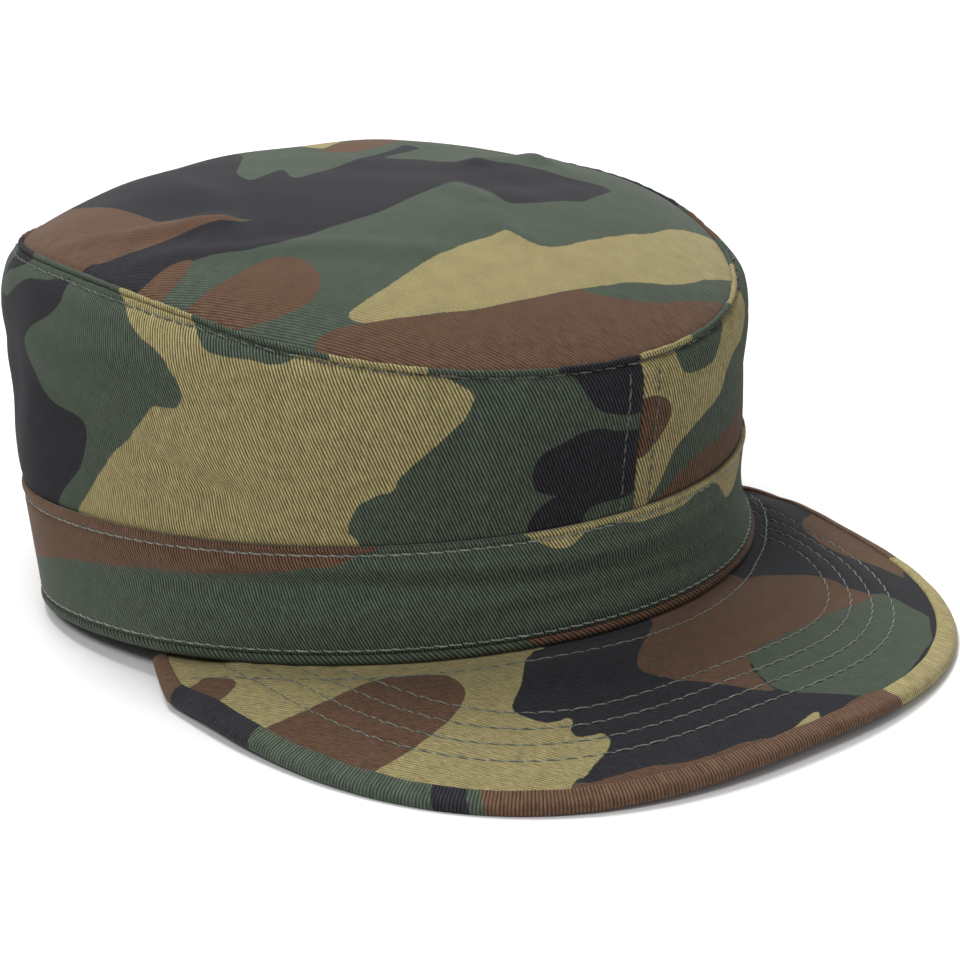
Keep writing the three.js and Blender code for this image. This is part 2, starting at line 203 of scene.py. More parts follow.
# The peak's innermost row: turn from the front in degrees and distance outside the rim
RIM_ROW = [
    (-70, 5.8), (-16, 6.2), (-4, 7.6), (4, 7.6), (15, 5.6), (28, 3.0), (42, 3.0), (56, 4.6),
    (70, 5.4),
]
RIM_ROW_END = math.radians(66)
ROW_OFF_RIM = 0.4
ROW_OFF_BINDING = 0.3
ROW_SLACK = 0.25
SIDE_ROW_FROM = 0.6
SIDE_ROW_SHORT = 1.5
STITCH_UNEVEN = 0.08

# Soft dents in the crown sides: angle, height as a share, spans across and along, depth
SIDE_FOLDS = [
    (-78, 0.16, 0.09, 0.30, -1.75),
    (-112, 0.50, 0.03, 0.50, -0.875),
    (-140, 0.60, 0.12, 0.08, -1.225),
    (42, 0.45, 0.04, 0.40, -1.4),
    (96, 0.26, 0.08, 0.26, -1.9),
    (160, 0.40, 0.07, 0.30, -2.1),
]

# Soft swells in the crown sides: chart u and v, spans across and up, height in mm
SIDE_SWELLS = [
    (-202, 7, 28, 9, 1.9),
    (-214, 40, 26, 12, -0.7),
    (-118, 8, 20, 4.5, -1.5),
    (-112, 21, 24, 7, 0.8),
    (92, 36, 26, 12, 2.1),
    (88, 16, 22, 13, 2.2),
    (-126, 20, 7, 2.6, -1.6),
    (-114, 16, 7, 2.8, -1.8),
    (-102, 11.5, 8, 3.0, -1.6),
    (-104, 41, 22, 6, 0.9),
    (-42, 20, 5, 16, -0.8),
    (-54, 22, 6, 14, 0.5),
    (-30, 24, 5, 14, 0.5),
    (-162, 25, 24, 8, -2.0),
    (-148, 38, 28, 5, 1.0),
    (-96, 10, 14, 7, -0.7),
    (-74, 22, 18, 8, 0.6),
    (62, 22, 3.5, 14, -0.45),
    (74, 18, 3.5, 14, 0.35),
]

# Soft swells in the top: angle, share out, length, width, heading and height
TOP_FOLDS = [
    (100, 0.85, 0.50, 0.28, 10, -4.875),
    (25, 0.35, 0.42, 0.10, 40, 1.755),
    (-95, 0.55, 0.50, 0.09, 75, 1.95),
    (-70, 0.62, 0.35, 0.08, 60, -1.95),
]

# Narrow ridges (positive) and valleys in the top: from x, y to x, y, width and height
TOP_RIDGES = [
    (-76, 24, -66, 2, 3.0, 1.3),
    (-66, 2, -50, -13, 3.0, 1.3),
    (-72, -10, -64, -19, 3.4, 1.4),
    (-60, -24, -38, -43, 3.6, 1.5),
    (-33, -48, -24, -56, 3.6, 1.1),
    (5, -32, 3.5, -43, 3.2, 0.9),
    (1, -50, -2, -60, 3.2, 0.9),
    (-74, 12, -60, -12, 3.5, -0.9),
    (0, -60, 9, -80, 3.0, 0.6),
    (24, -17, 46, -13, 4.5, 1.3),
    (46, -13, 66, 4, 5.5, 1.4),
    (12, -34, 40, -32, 6.0, -0.9),
]

# Bends of the head opening and the band: chart u, span along and distance out
BACK_CORNER = (-172, 24, 2.0)
BEHIND_CORNER = (-222, 28, -3.4)
PUSHED_FOOT = (-198, 27, -4.4)
TEMPLE_WAIST = (74, 30, -2.6)
WAIST_POWER = 0.8
BEND_FADE = (0, 30)

# Shallow grooves that run round the band: from u to u, height, width and depth
BAND_GROOVES = [
    (-124, 40, 14.6, 2.3, -1.5),
    (-112, 30, 19.0, 1.8, 0.8),
    (-40, 40, 6.0, 2.6, -1.2),
    (-96, -10, 6.5, 4.0, 0.6),
    (120, 180, 13.0, 3.5, -0.6),
    (-260, -190, 9.0, 3.5, -0.6),
]
GROOVE_SWAY = 1.6
GROOVE_SWAY_RUN = 24.0
GROOVE_FADE = 14

# Nap is how far the ribs are worn smooth: 0 on crisp ribs, 1 on plain cloth
SIDE_NAP = 0.85
SIDE_NAP_STARTS = (118, 165)
SIDE_NAP_ENDS = (235, 280)
TOP_NAP = 0.9
TOP_NAP_FROM_EDGE = 12
PEAK_NAP = 0.6
PEAK_NAP_STARTS = (-30, 20)

KHAKI, GREEN, BROWN, BLACK = "khaki", "green", "brown", "black"


# Shapes of the sewn pieces

def oval(angle, front, back, side, square=0.0, forward=0.0):
    """A radius, or a height, that goes smoothly from front to side to back."""
    ends = (front + back) / 2
    stretch = (ends - side) / 2
    tilt = (front - back) / 2 - forward
    level = (ends + side) / 2 - square
    waves = tilt * np.cos(angle) + stretch * np.cos(2 * angle)
    return level + waves + forward * np.cos(3 * angle) + square * np.cos(4 * angle)


def polar(angle, radius, z):
    """Points at a turn from the front towards the wearer's left."""
    angle, radius, z = np.broadcast_arrays(angle, radius, z)
    return np.stack([radius * np.sin(angle), -radius * np.cos(angle), z], -1)


def bell(x):
    return np.exp(-x * x)


def smoothstep(x, low, high):
    t = np.clip((x - low) / (high - low), 0, 1)
    return t * t * (3 - 2 * t)


def turn_between(a, b):
    return np.arctan2(np.sin(a - b), np.cos(a - b))


def rim_radius(angle):
    return oval(angle, **RIM)


def rim_height(angle):
    return RIM_WAVE * np.cos(2 * angle)


def band_radius(angle, above):
    rim = rim_radius(angle)
    return rim + (oval(angle, **BAND_HEAD) - rim) * above / BAND_HEIGHT


def seam_radius(angle):
    temple = bell(turn_between(angle, LEFT_TEMPLE) / TEMPLE_SPAN)
    return oval(angle, **SEAM) + TEMPLE_FULLNESS * temple


def seam_dip(angle):
    """The top seam has sunk a little over the front half of the cap."""
    turn = turn_between(angle, 0.0)
    return SEAM_DIP * smoothstep(turn, *SEAM_DIP_RISES) * (1 - smoothstep(turn, *SEAM_DIP_ENDS))


def crown_height(angle):
    return oval(angle, **CROWN_HEIGHTS) - seam_dip(angle)


def crown_radius(angle, share):
    share = np.clip(share, 0, 1)
    foot = band_radius(angle, BAND_HEIGHT) - BAND_WALL - GAP
    head = seam_radius(angle) - ROLL_RADIUS / 2
    belly = oval(angle, **BELLY) * np.sin(math.pi * share) ** BELLY_FULLNESS
    shoulder = oval(angle, **SHOULDER) * np.sin(math.pi * share ** SHOULDER_LIFT)
    folds = np.zeros(np.broadcast(angle, share).shape)
    for at, height, across, along, depth in SIDE_FOLDS:
        turn = turn_between(angle, math.radians(at)) / (across * math.pi)
        folds = folds + depth * bell(turn) * bell((share - height) / along)
    return foot + (head - foot) * share + belly + shoulder + folds * np.sin(math.pi * share)


def ditch_below(u):
    """How far the stitched ditch lies under the top seam. It drops where the seam lies flat."""
    return DITCH_BELOW + DITCH_DROP * flat_seam(u)


def flat_seam(u):
    """1 where the rolled top seam is pressed flat, over the wearer's right ear."""
    return smoothstep(-u, *FLAT_SEAM_STARTS) * (1 - smoothstep(-u, *FLAT_SEAM_ENDS))


def ripple(u, v):
    """Small unevenness of soft cloth, as a few slow waves of different headings."""
    return (0.10 * np.sin(u / 7.1 + v / 23.0) * np.sin(v / 9.7 + 1.3)
            + 0.08 * np.sin(u / 12.3 - v / 8.1 + 0.7)
            + 0.05 * np.sin(u / 4.3 + v / 6.1 + 2.1))


def side_skin(u, v):
    """Outside of the crown side, v above the band's upper edge."""
    angle = u / CHART_RADIUS
    height = crown_height(angle)
    radius = crown_radius(angle, v / height)
    radius = radius + SIDE_RIPPLE * ripple(u, v) * smoothstep(v, *RIPPLE_FADE)
    below_seam = height - v
    below_ditch = below_seam - ditch_below(u)
    pull = DITCH_DEPTH - DITCH_FLATTER * flat_seam(u)
    tuck = 1 + PUCKER_SHARE * np.sin(u / PUCKER_RUN) * bell(below_ditch / PUCKER_SPAN)
    radius = radius - pull * tuck * bell(below_ditch / DITCH_SPAN)
    radius = radius + swell(below_seam, *SEAM_RIDGE)
    for at_u, at_v, span_u, span_v, height_out in SIDE_SWELLS:
        off = turn_between(angle, at_u / CHART_RADIUS) * CHART_RADIUS
        radius = radius + height_out * bell(off / span_u) * bell((v - at_v) / span_v)
    radius = radius + corner_bend(u) * (1 - smoothstep(v, *BEND_FADE))
    for centre, rows in ((0.0, FRONT_ROWS), (math.pi * CHART_RADIUS, BACK_ROWS)):
        off = turn_between(angle, centre / CHART_RADIUS) * CHART_RADIUS
        for row in rows:
            radius = radius - ROW_DITCH * bell((off - row) / ROW_DITCH_SPAN)
        felled = smoothstep(off, rows[0] - LAP_OUTSIDE_ROW, rows[0] + LAP_INSIDE_ROW)
        felled = felled * (1 - smoothstep(off, rows[1] - LAP_INSIDE_ROW, rows[1] + LAP_OUTSIDE_ROW))
        radius = radius + LAP_THICKNESS * felled - LAP_GROOVE * bell(off / LAP_GROOVE_SPAN)
    return polar(angle, radius, BAND_TOP + v)


def top_height(x, y):
    """Upper face of the crown top over a point of the plan."""
    angle = np.arctan2(x, -y)
    share = np.clip(np.hypot(x, y) / (seam_radius(angle) - ROLL_RADIUS), 0, 1)
    ends = (CROWN_HEIGHTS["front"] + CROWN_HEIGHTS["back"]) / 2
    side = CROWN_HEIGHTS["side"]
    level = BAND_TOP + (ends + side) / 2
    tilt = (CROWN_HEIGHTS["front"] - CROWN_HEIGHTS["back"]) / 2 * share * np.cos(angle)
    saddle = (ends - side) / 2 * share ** 2 * np.cos(2 * angle)
    folds = 0
    across, back = share * np.sin(angle), -share * np.cos(angle)
    for at, out, length, width, heading, height in TOP_FOLDS:
        middle = polar(math.radians(at), out, 0)
        turn = math.radians(heading)
        along = (across - middle[0]) * np.cos(turn) + (back - middle[1]) * np.sin(turn)
        beside = (back - middle[1]) * np.cos(turn) - (across - middle[0]) * np.sin(turn)
        folds = folds + height * bell(along / length) * bell(beside / width)
    for x0, y0, x1, y1, width, height in TOP_RIDGES:
        folds = folds + height * bell(segment_distance(x, y, (x0, y0), (x1, y1)) / width)
    folds = folds + TOP_RIPPLE * ripple(x * 1.1 + 40, y * 1.1)
    fade = 1 - share ** TOP_FOLD_FADE
    sunk = seam_dip(angle) * share ** 3
    return level + tilt + saddle - sunk + TOP_DOME * (1 - share ** TOP_DOME_POWER) + folds * fade


def segment_distance(x, y, start, end):
    dx, dy = end[0] - start[0], end[1] - start[1]
    along = ((x - start[0]) * dx + (y - start[1]) * dy) / (dx * dx + dy * dy)
    along = np.clip(along, 0, 1)
    return np.hypot(x - start[0] - along * dx, y - start[1] - along * dy)


def swell(u, at, span, out):
    """A soft swell outward at one place along the side, or a dent where out is negative."""
    return out * bell((u - at) / span)


def corner_bend(u):
    """The head opening is a little squarer than an oval behind the wearer's right ear."""
    return swell(u, *BACK_CORNER) + swell(u, *BEHIND_CORNER)


def foot_in(u):
    """The band's foot is pushed in behind the wearer's right ear."""
    return swell(u, *PUSHED_FOOT)


def waist(u, v):
    """The band is drawn in over the wearer's left temple, most at half its height."""
    share = np.clip(v / BAND_HEIGHT, 0, 1)
    return swell(u, *TEMPLE_WAIST) * np.sin(math.pi * share ** WAIST_POWER) ** WAIST_POWER


def band_bends(u, v):
    """All bends of the band, whose foot also takes those of the head opening."""
    return corner_bend(u) + waist(u, v) + foot_in(u) * (1 - v / BAND_HEIGHT)


def band_top_row(u):
    """The band's upper row of stitches runs nearer to its edge towards the front."""
    return BAND_TOP_ROW + BAND_TOP_ROW_RISE * smoothstep(u, -150, -80)


def band_skin(u, v):
    """Outside of the band, v above its lower edge."""
    angle = u / CHART_RADIUS
    radius = band_radius(angle, v)
    past_row = v - band_top_row(u)
    radius = radius + swell(past_row, *BAND_ROW_DITCH) + swell(past_row, *BAND_ROW_RIDGE)
    radius = radius + swell(v, *BAND_LOW_DITCH)
    for start, end, height, width, depth in BAND_GROOVES:
        sway = height + GROOVE_SWAY * np.sin((u - start) / GROOVE_SWAY_RUN)
        opens = smoothstep(u, start - GROOVE_FADE, start + GROOVE_FADE)
        closes = 1 - smoothstep(u, end - GROOVE_FADE, end + GROOVE_FADE)
        radius = radius + depth * bell((v - sway) / width) * (opens * closes)
    between_rows = np.sin(math.pi * np.clip(v / BAND_HEIGHT, 0, 1))
    radius = radius + BAND_RIPPLE * ripple(u * 1.2 + 11, v) * between_rows
    radius = radius + band_bends(u, v)
    radius = radius + swell(v, *BAND_HEAD_TURN) + swell(v, *BAND_FOOT_TURN)
    lift = rim_height(angle) * (1 - v / BAND_HEIGHT)
    return polar(angle, radius, BAND_BOTTOM + lift + v)


def outside_rim(x, y):
    """Distance of points of the plan outside the head opening."""
    return np.hypot(x, y) - rim_radius(np.arctan2(x, -y))


def visor_height(x, y):
    """Upper face of the peak: a small rise from the rim, then a steady fall to the edge."""
    angle = np.arctan2(x, -y)
    out = np.maximum(0, outside_rim(x, y))
    settled_share = 1 - bell(out / VISOR_LIP_RUN)
    arch = VISOR_ARCH * (x / RIM["side"]) ** 2 * settled_share
    end = smoothstep(np.abs(angle), VISOR_END_FROM, VISOR_END_TO)
    fall = VISOR_LIP * settled_share - VISOR_SLOPE * out - arch
    return rim_height(angle) - GAP + fall - (BINDING_WALL + GAP) * end


def visor_corner(turn):
    half_width = RIM["side"] + VISOR_OVERHANG
    x = half_width - VISOR_CORNER_IN * np.sin(turn) ** VISOR_CORNER_BEND
    return x, -VISOR_SIDE_START + VISOR_CORNER_BACK * np.sin(turn)


def visor_corner_end():
    """The turn at which the peak's corner has run in until it is just outside the rim."""
    low, high = 0.0, math.pi / 2
    for _ in range(40):
        turn = (low + high) / 2
        if outside_rim(*visor_corner(turn)) > BINDING_END_OUT:
            low = turn
        else:
            high = turn
    return low


def visor_outline(steps):
    """Evenly spaced places along the peak's outer edge, the way inward and the length so far."""
    end = visor_corner_end()
    turn = np.linspace(-1, 1, 6001) * (math.pi / 2 + end)
    size = np.abs(turn)
    quarter = np.minimum(size, math.pi / 2)
    reach = RIM["front"] + VISOR_REACH - VISOR_SIDE_START
    x = (RIM["side"] + VISOR_OVERHANG) * np.sin(quarter) ** (2 / VISOR_FULLNESS)
    y = -VISOR_SIDE_START - reach * np.abs(np.cos(quarter)) ** (2 / VISOR_FULLNESS)
    corner_x, corner_y = visor_corner(np.maximum(size - math.pi / 2, 0))
    x = np.where(size > math.pi / 2, corner_x, x) * np.sign(turn)
    y = np.where(size > math.pi / 2, corner_y, y)
    x = np.where(x > 0, x - swell(y, *VISOR_LEFT_IN), x)
    run = np.concatenate([[0], np.cumsum(np.hypot(np.diff(x), np.diff(y)))])
    at = np.linspace(0, run[-1], steps + 1)
    place = np.stack([np.interp(at, run, x), np.interp(at, run, y)], -1)
    ahead = np.gradient(place, axis=0)
    ahead /= np.linalg.norm(ahead, axis=-1, keepdims=True)
    inward = np.stack([-ahead[:, 1], ahead[:, 0]], -1)
    return place, inward, at


EDGE, EDGE_INWARD, _ = visor_outline(EDGE_STEPS)


def inside_edge(x, y):
    """Distance of points of the plan from the peak's outer edge."""
    flat = np.stack([np.ravel(x), np.ravel(y)], -1)
    nearest = np.empty(len(flat))
    for start in range(0, len(flat), 4000):
        part = flat[start:start + 4000, None, :] - EDGE[None, ::2, :]
        nearest[start:start + 4000] = np.sqrt((part ** 2).sum(-1).min(1))
    return nearest.reshape(np.shape(x))


def rim_row(angle):
    """How far the innermost row of the peak lies outside the rim."""
    return np.interp(np.degrees(angle), *zip(*RIM_ROW))


def visor_skin(x, y):
    """Upper face of the peak, with the rows of stitches pulled a little into it."""
    inset = inside_edge(x, y)
    dip = 0
    for row in VISOR_ROWS:
        dip = dip + PEAK_DITCH * bell((inset - row) / PEAK_DITCH_SPAN)
    past_rim_row = outside_rim(x, y) - rim_row(np.arctan2(x, -y))
    dip = dip + PEAK_DITCH * bell(past_rim_row / PEAK_DITCH_SPAN)
    lift = PEAK_RIPPLE * ripple(x * 0.8, y * 0.8) * smoothstep(outside_rim(x, y), 0, 12)
    return np.stack([x, y, visor_height(x, y) - dip + lift], -1)


# Placing the cap on the floor

def leaned(points):
    c, s = math.cos(LEAN), math.sin(LEAN)
    x, y, z = points[..., 0], points[..., 1], points[..., 2]
    return np.stack([x, c * y + s * z, c * z - s * y], -1)


def frame_shift():
    """How far the frame's cap has moved after leaning, found from its band."""
    low, high = (np.array(corner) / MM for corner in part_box("band"))
    u = np.linspace(-math.pi, math.pi, 721) * CHART_RADIUS
    inset = 0.5
    rings = []
    for above in (0.0, 0.5, BAND_HEIGHT - 0.5, BAND_HEIGHT):
        angle = u / CHART_RADIUS
        end = inset if above in (0.0, BAND_HEIGHT) else 0.0
        height = BAND_BOTTOM + rim_height(angle) * (1 - above / BAND_HEIGHT) + above
        rings.append(polar(angle, band_radius(angle, above) - end, height))
    own = leaned(np.concatenate(rings))
    return ((low - own.min(0)) + (high - own.max(0))) / 2


SHIFT = frame_shift()


def settled(points, presses=False):
    """Metres in the row frame. Soft edges that would sink into the floor lie flat on it."""
    placed = leaned(np.asarray(points, float)) + SHIFT
    if presses:
        placed[..., 2] = np.maximum(placed[..., 2], 0.0)
    return placed * MM


# The printed pattern. A patch is a colour and the few points of its outline, in the chart of
# its own piece; a later patch covers an earlier one and green is the ground.

RIGHT_SIDE = [
    (KHAKI, [
        (-137, 58), (-122, 58), (-110, 55), (-107.5, 50), (-105, 47), (-101, 44), (-95, 43),
        (-90, 42.5), (-84, 41.8), (-80, 42.3), (-78, 43.6), (-76, 49), (-60, 47), (-49, 43),
        (-46, 39.5), (-42, 37), (-39, 34.5), (-39.4, 32.5), (-41, 29.4), (-44, 26.3),
        (-50, 21.3), (-55.6, 16.3), (-57.5, 13), (-61.3, 12), (-65, 10), (-67.5, 6.3),
        (-68, 3), (-66, 0.5), (-66, -9), (-148, -9), (-147.3, 0.3), (-145, 3.8), (-142, 8),
        (-137.5, 13), (-132, 18), (-126, 22.5), (-121, 27), (-118, 29.8), (-115, 30),
        (-110.6, 30.3), (-108.5, 32), (-108, 34.4), (-109.4, 37), (-112, 40), (-115, 42.5),
        (-120, 44.4), (-125, 46.3), (-130, 50), (-136, 53.8),
    ]),
    (BLACK, [
        (-160, 60), (-159, 53.4), (-157.4, 49.4), (-159.4, 46.6), (-163.6, 44.2), (-169.1, 41.6),
        (-172.8, 38.8), (-174.2, 36), (-173, 32), (-170, 27), (-165, 24.4), (-159, 23.5),
        (-151, 23), (-147, 22), (-145, 19.4), (-145.6, 15), (-147.5, 10.6), (-151.3, 7),
        (-153.8, 4.4), (-156.3, 0.3), (-157, -9), (-222, -9), (-226, 8), (-218, 22),
        (-206, 30), (-203, 42), (-206, 60),
    ]),
    (GREEN, [
        (-205, 46), (-200, 44), (-194, 45), (-188, 48.4), (-181, 51), (-172, 52), (-164, 53),
        (-156, 55), (-158, 60), (-175, 60), (-186, 55), (-194, 51.6), (-202, 49.4),
    ]),
    (BLACK, [
        (-18.5, 44), (-17.5, 36.5), (-15.5, 33), (-13.5, 29.4), (-10.3, 26.4), (-5, 24.5),
        (0, 24), (6, 24), (6, 44),
    ]),
    (BLACK, [
        (6, 20), (0, 20), (-4, 20.6), (-7.5, 21.3), (-11, 22.5), (-15.6, 22.5), (-20, 20.6),
        (-24.4, 18.8), (-26.3, 15.6), (-26.5, 13), (-25.6, 10), (-22.5, 8.5), (-20, 8),
        (-22.5, 7), (-25.6, 5), (-27.3, 2), (-27.5, -2), (-27, -9), (6, -9),
    ]),
    (GREEN, [(-14, 0.6), (-12.4, 3.0), (-8.6, 3.8), (-4, 3.7), (3, 3.9), (3, -9), (-15, -9)]),
    (KHAKI, [
        (-232, 60), (-236, 44), (-248, 36), (-262, 34), (-272, 26), (-270, 14), (-258, 6),
        (-256, -9), (-290, -9), (-296, 8), (-292, 22), (-298, 36), (-312, 42), (-312, 60),
    ]),
    (BROWN, [
        (-224, 36), (-232, 30), (-244, 27), (-252, 18), (-248, 8), (-236, 2), (-226, 6),
        (-216, 14), (-210, 24), (-214, 34),
    ]),
    (BROWN, [
        (-276, 52), (-284, 46), (-282, 36), (-272, 32), (-262, 38), (-260, 48), (-266, 60),
        (-274, 60),
    ]),
]

LEFT_SIDE = [
    (KHAKI, [
        (-6, 46), (-6, -1), (1, -1), (4.4, 0.6), (7.5, 3.8), (9.4, 7.5), (12.5, 12),
        (17.5, 15), (23.8, 17.5), (28.8, 19.4), (31, 21.3), (32, 24.4), (34.4, 27.5),
        (38.8, 29), (44, 29.8), (48, 32), (52, 36), (55, 41), (58, 47),
    ]),
    (BROWN, [
        (-5, 27.6), (0, 27.3), (3, 27.3), (7, 25.6), (9, 23), (9, 20), (7, 17), (3.8, 14),
        (0, 12.3), (-5, 12),
    ]),
    (GREEN, [
        (10.2, 41), (10.6, 36.8), (11, 33), (13, 30.3), (17.5, 29.5), (24.4, 30),
        (26.5, 32), (28.8, 34.4), (32.5, 36.6), (36, 39), (36, 46), (11, 46),
    ]),
    (BROWN, [
        (4, -2), (7, 0), (10, 2), (15, 5), (22.5, 7.8), (32.5, 8), (42.5, 9), (52.5, 9.5),
        (61, 11), (70, 16), (78, 24), (86, 34), (96, 42), (104, 40), (102, 28), (94, 16),
        (88, 4), (86, -9), (4, -9),
    ]),
    (BLACK, [
        (112, 60), (114, 46), (120, 36), (116, 26), (108, 18), (108, 8), (116, 2), (130, 0),
        (138, 8), (140, 20), (148, 28), (160, 34), (164, 46), (160, 60),
    ]),
    (KHAKI, [
        (150, -9), (152, 4), (160, 12), (172, 16), (182, 26), (180, 38), (188, 48), (196, 60),
        (232, 60), (226, 44), (214, 36), (208, 26), (214, 14), (226, 8), (232, -9),
    ]),
    (BROWN, [
        (236, 50), (232, 38), (238, 28), (248, 24), (258, 28), (268, 34), (274, 46), (268, 60),
        (240, 60),
    ]),
    (BLACK, [
        (246, -9), (244, 4), (252, 12), (266, 14), (276, 22), (284, 34), (296, 38), (312, 36),
        (312, 10), (296, 6), (288, -9),
    ]),
]

# Colours along the rolled edge over the crown side: from u to u
ROLL_LENGTHS = [
    (-320, -262, KHAKI), (-262, -226, BROWN), (-226, -188, BLACK), (-136, -108, KHAKI),
    (-70, -48, KHAKI), (-20, 0, BLACK), (0, 17, KHAKI), (40, 66, KHAKI), (84, 106, BROWN),
    (112, 158, BLACK), (190, 232, KHAKI), (240, 268, BROWN), (290, 320, BLACK),
]

CROWN_TOP = [
    (BLACK, [
        (-46, 66), (-36, 84), (-14, 84), (-8, 64), (-4.2, 53.5), (-6.7, 46.3), (-10, 39.7),
        (-15, 33), (-20, 26.3), (-25, 19.7), (-27.5, 13), (-28, 8.8), (-25.8, 8.5),
        (-21.7, 9.7), (-17, 12.2), (-16.7, 9.7), (-20, 2.6), (-18.3, 0.6), (-11.7, 3.2),
        (-3.3, 6.3), (3.3, 8.8), (10, 11.3), (16.7, 13.8), (23.3, 17.2), (28.3, 21.3),
        (31, 22), (31, 17.2), (25, 13), (18.3, 10.5), (13, 8), (14, 4.7), (18.3, 1.3),
        (20, -5.3), (21.3, -12), (24.2, -17), (27, -19.5), (34.2, -19.5), (38.3, -21.2),
        (40.8, -23.7), (43.5, -29), (49, -38.2), (43.3, -42.8), (38.3, -45.3), (31.7, -48.2),
        (26.7, -47.6), (18.3, -47.2), (12, -46.6), (9.6, -45), (9.7, -40.5), (9, -35.5),
        (6.2, -31.3), (1, -29.4), (-7, -30.7), (-15, -33.3), (-20, -34.3), (-28.3, -34.4),
        (-36, -34.2), (-44, -34), (-50, -32.6), (-60.6, -25.2), (-66, -21.5), (-69, -18.9),
        (-77.5, -18.4), (-92, -18), (-92, 8), (-70, 20), (-62, 50),
    ]),
    (BROWN, [
        (-46, 74), (-50.3, 62.7), (-52.5, 58), (-54.5, 51.3), (-55.8, 44.7), (-56.7, 39.7),
        (-57.8, 29.7), (-58.2, 19.7), (-58.7, 9.7), (-59, 4.7), (-58.7, 1.3), (-56.7, -2),
        (-54.2, -7), (-51.5, -11), (-48, -13.8), (-44, -16.3), (-49.6, -15.2), (-54.2, -12.4),
        (-58.3, -9.7), (-63.3, -7.3), (-68.3, -5.3), (-70.8, -3.3), (-74.2, -1.2),
        (-76.7, 1.3), (-78.5, 4), (-92, 6), (-92, 60), (-60, 84),
    ]),
    (BROWN, [
        (-92, -16.5), (-77.5, -18.4), (-72, -18), (-68.6, -18.7), (-65.2, -21.3), (-66.5, -23),
        (-69.5, -24.6), (-73.3, -25.8), (-77, -26.4), (-92, -29),
    ]),
    (BROWN, [
        (-92, -36), (-74.2, -34), (-65, -34.2), (-56.7, -34.6), (-51.2, -36.9), (-48, -40.8),
        (-47.5, -45), (-48.6, -50), (-51.7, -53.3), (-55, -54.7), (-60, -53.7),
        (-65, -51.7), (-68.7, -49.5), (-76, -46), (-92, -50),
    ]),
    (BROWN, [
        (-74, -76), (-61.8, -65.4), (-58.7, -64), (-55.5, -64.8), (-48.4, -68.2), (-40, -72),
        (-20, -76), (0, -80), (40, -86), (60, -90), (40, -120), (-40, -120), (-80, -80),
    ]),
    (GREEN, [
        (0.8, -83.3), (5, -86.6), (10, -88.7), (16.7, -90.7), (26.7, -90.3), (36.7, -90),
        (50, -88), (66, -80), (60, -74), (40, -78), (20, -80),
    ]),
    (KHAKI, [
        (-50.4, -63.3), (-41.3, -62.8), (-34, -61.6), (-28.2, -60.6), (-17, -59.9),
        (-7.6, -59.6), (-2.4, -60.2), (0.3, -64.3), (2.4, -67.9), (6.3, -69), (14, -68),
        (26.7, -66.3), (38.3, -64.8), (45, -62), (53.3, -59.2), (60, -58.2), (70, -57.5),
        (86, -56), (86, -70), (60, -76.5), (50, -80.3), (41.7, -82), (33.3, -84.2),
        (25, -85.2), (16.7, -84), (6.7, -83.6), (-1.7, -83), (-10, -82.4), (-16.7, -81.4),
        (-26.4, -79.4), (-32, -77), (-38.6, -73.8), (-44.2, -70.8), (-49.4, -68), (-51.2, -65.5),
    ]),
    (KHAKI, [
        (9, 31), (9, 38), (12, 47), (18, 57), (27, 66), (36, 72), (47, 73), (50, 64), (41, 56),
        (31, 48), (22, 40), (15, 34),
    ]),
    (BROWN, [
        (6, 24), (12, 19.5), (20, 21), (28, 26), (36, 31), (46, 36), (58, 40), (66, 48),
        (62, 58), (52, 60), (42, 52), (30, 43), (20, 36), (10, 30),
    ]),
    (BLACK, [
        (20, 84), (12, 90), (10, 110), (60, 110), (90, 60), (92, 30), (84, 20), (78, 28),
        (78, 44), (70, 58), (56, 68), (44, 80), (32, 84),
    ]),
]

BAND = [
    (BROWN, [
        (-64, 30), (-62, 25), (-66, 23.6), (-72, 21.3), (-80, 20.4), (-88, 19.2), (-96, 18.2),
        (-104, 17.4), (-112, 17), (-120, 16.8), (-130, 16), (-140, 15), (-150, 14),
        (-160, 12), (-170, 9.6), (-180, 6.5), (-190, 1), (-194, -5), (-258, -5), (-252, 6),
        (-240, 14), (-230, 30),
    ]),
    (KHAKI, [
        (-27.8, 30), (-27.5, 24.4), (-25, 22.6), (-22.6, 21.2), (-20, 20.6), (-17.5, 21),
        (-15.4, 22.4), (-13, 23.6), (-8, 23.8), (-4, 23.2), (0, 22.3), (5, 22), (10, 22),
        (15, 22.3), (20, 22.9), (24, 23.8), (29, 23.7), (32, 22), (34.5, 19), (37.6, 16.9),
        (41, 16.4), (45, 18), (50, 21), (56, 23.4), (66, 24), (70, 30),
    ]),
    (BROWN, [
        (84, -5), (86, 4), (90, 12), (95, 20), (99, 30), (116, 30), (112, 16), (108, 6),
        (106, -5),
    ]),
    (BLACK, [
        (120, 30), (124, 20), (136, 14), (150, 12), (160, 6), (160, -5), (206, -5), (204, 8),
        (192, 14), (180, 20), (176, 30),
    ]),
    (KHAKI, [
        (214, 30), (218, 20), (230, 14), (244, 14), (256, 18), (268, 16), (280, 20), (284, 30),
    ]),
    (BLACK, [
        (-320, 14), (-300, 12), (-288, 8), (-278, 10), (-270, 16), (-262, 12), (-266, 2),
        (-272, -5), (-320, -5),
    ]),
]

WELT_LENGTHS = [
    (-320, -280, BLACK), (-235, -200, BROWN), (-28, 92, BROWN), (120, 170, KHAKI),
    (210, 260, BLACK),
]

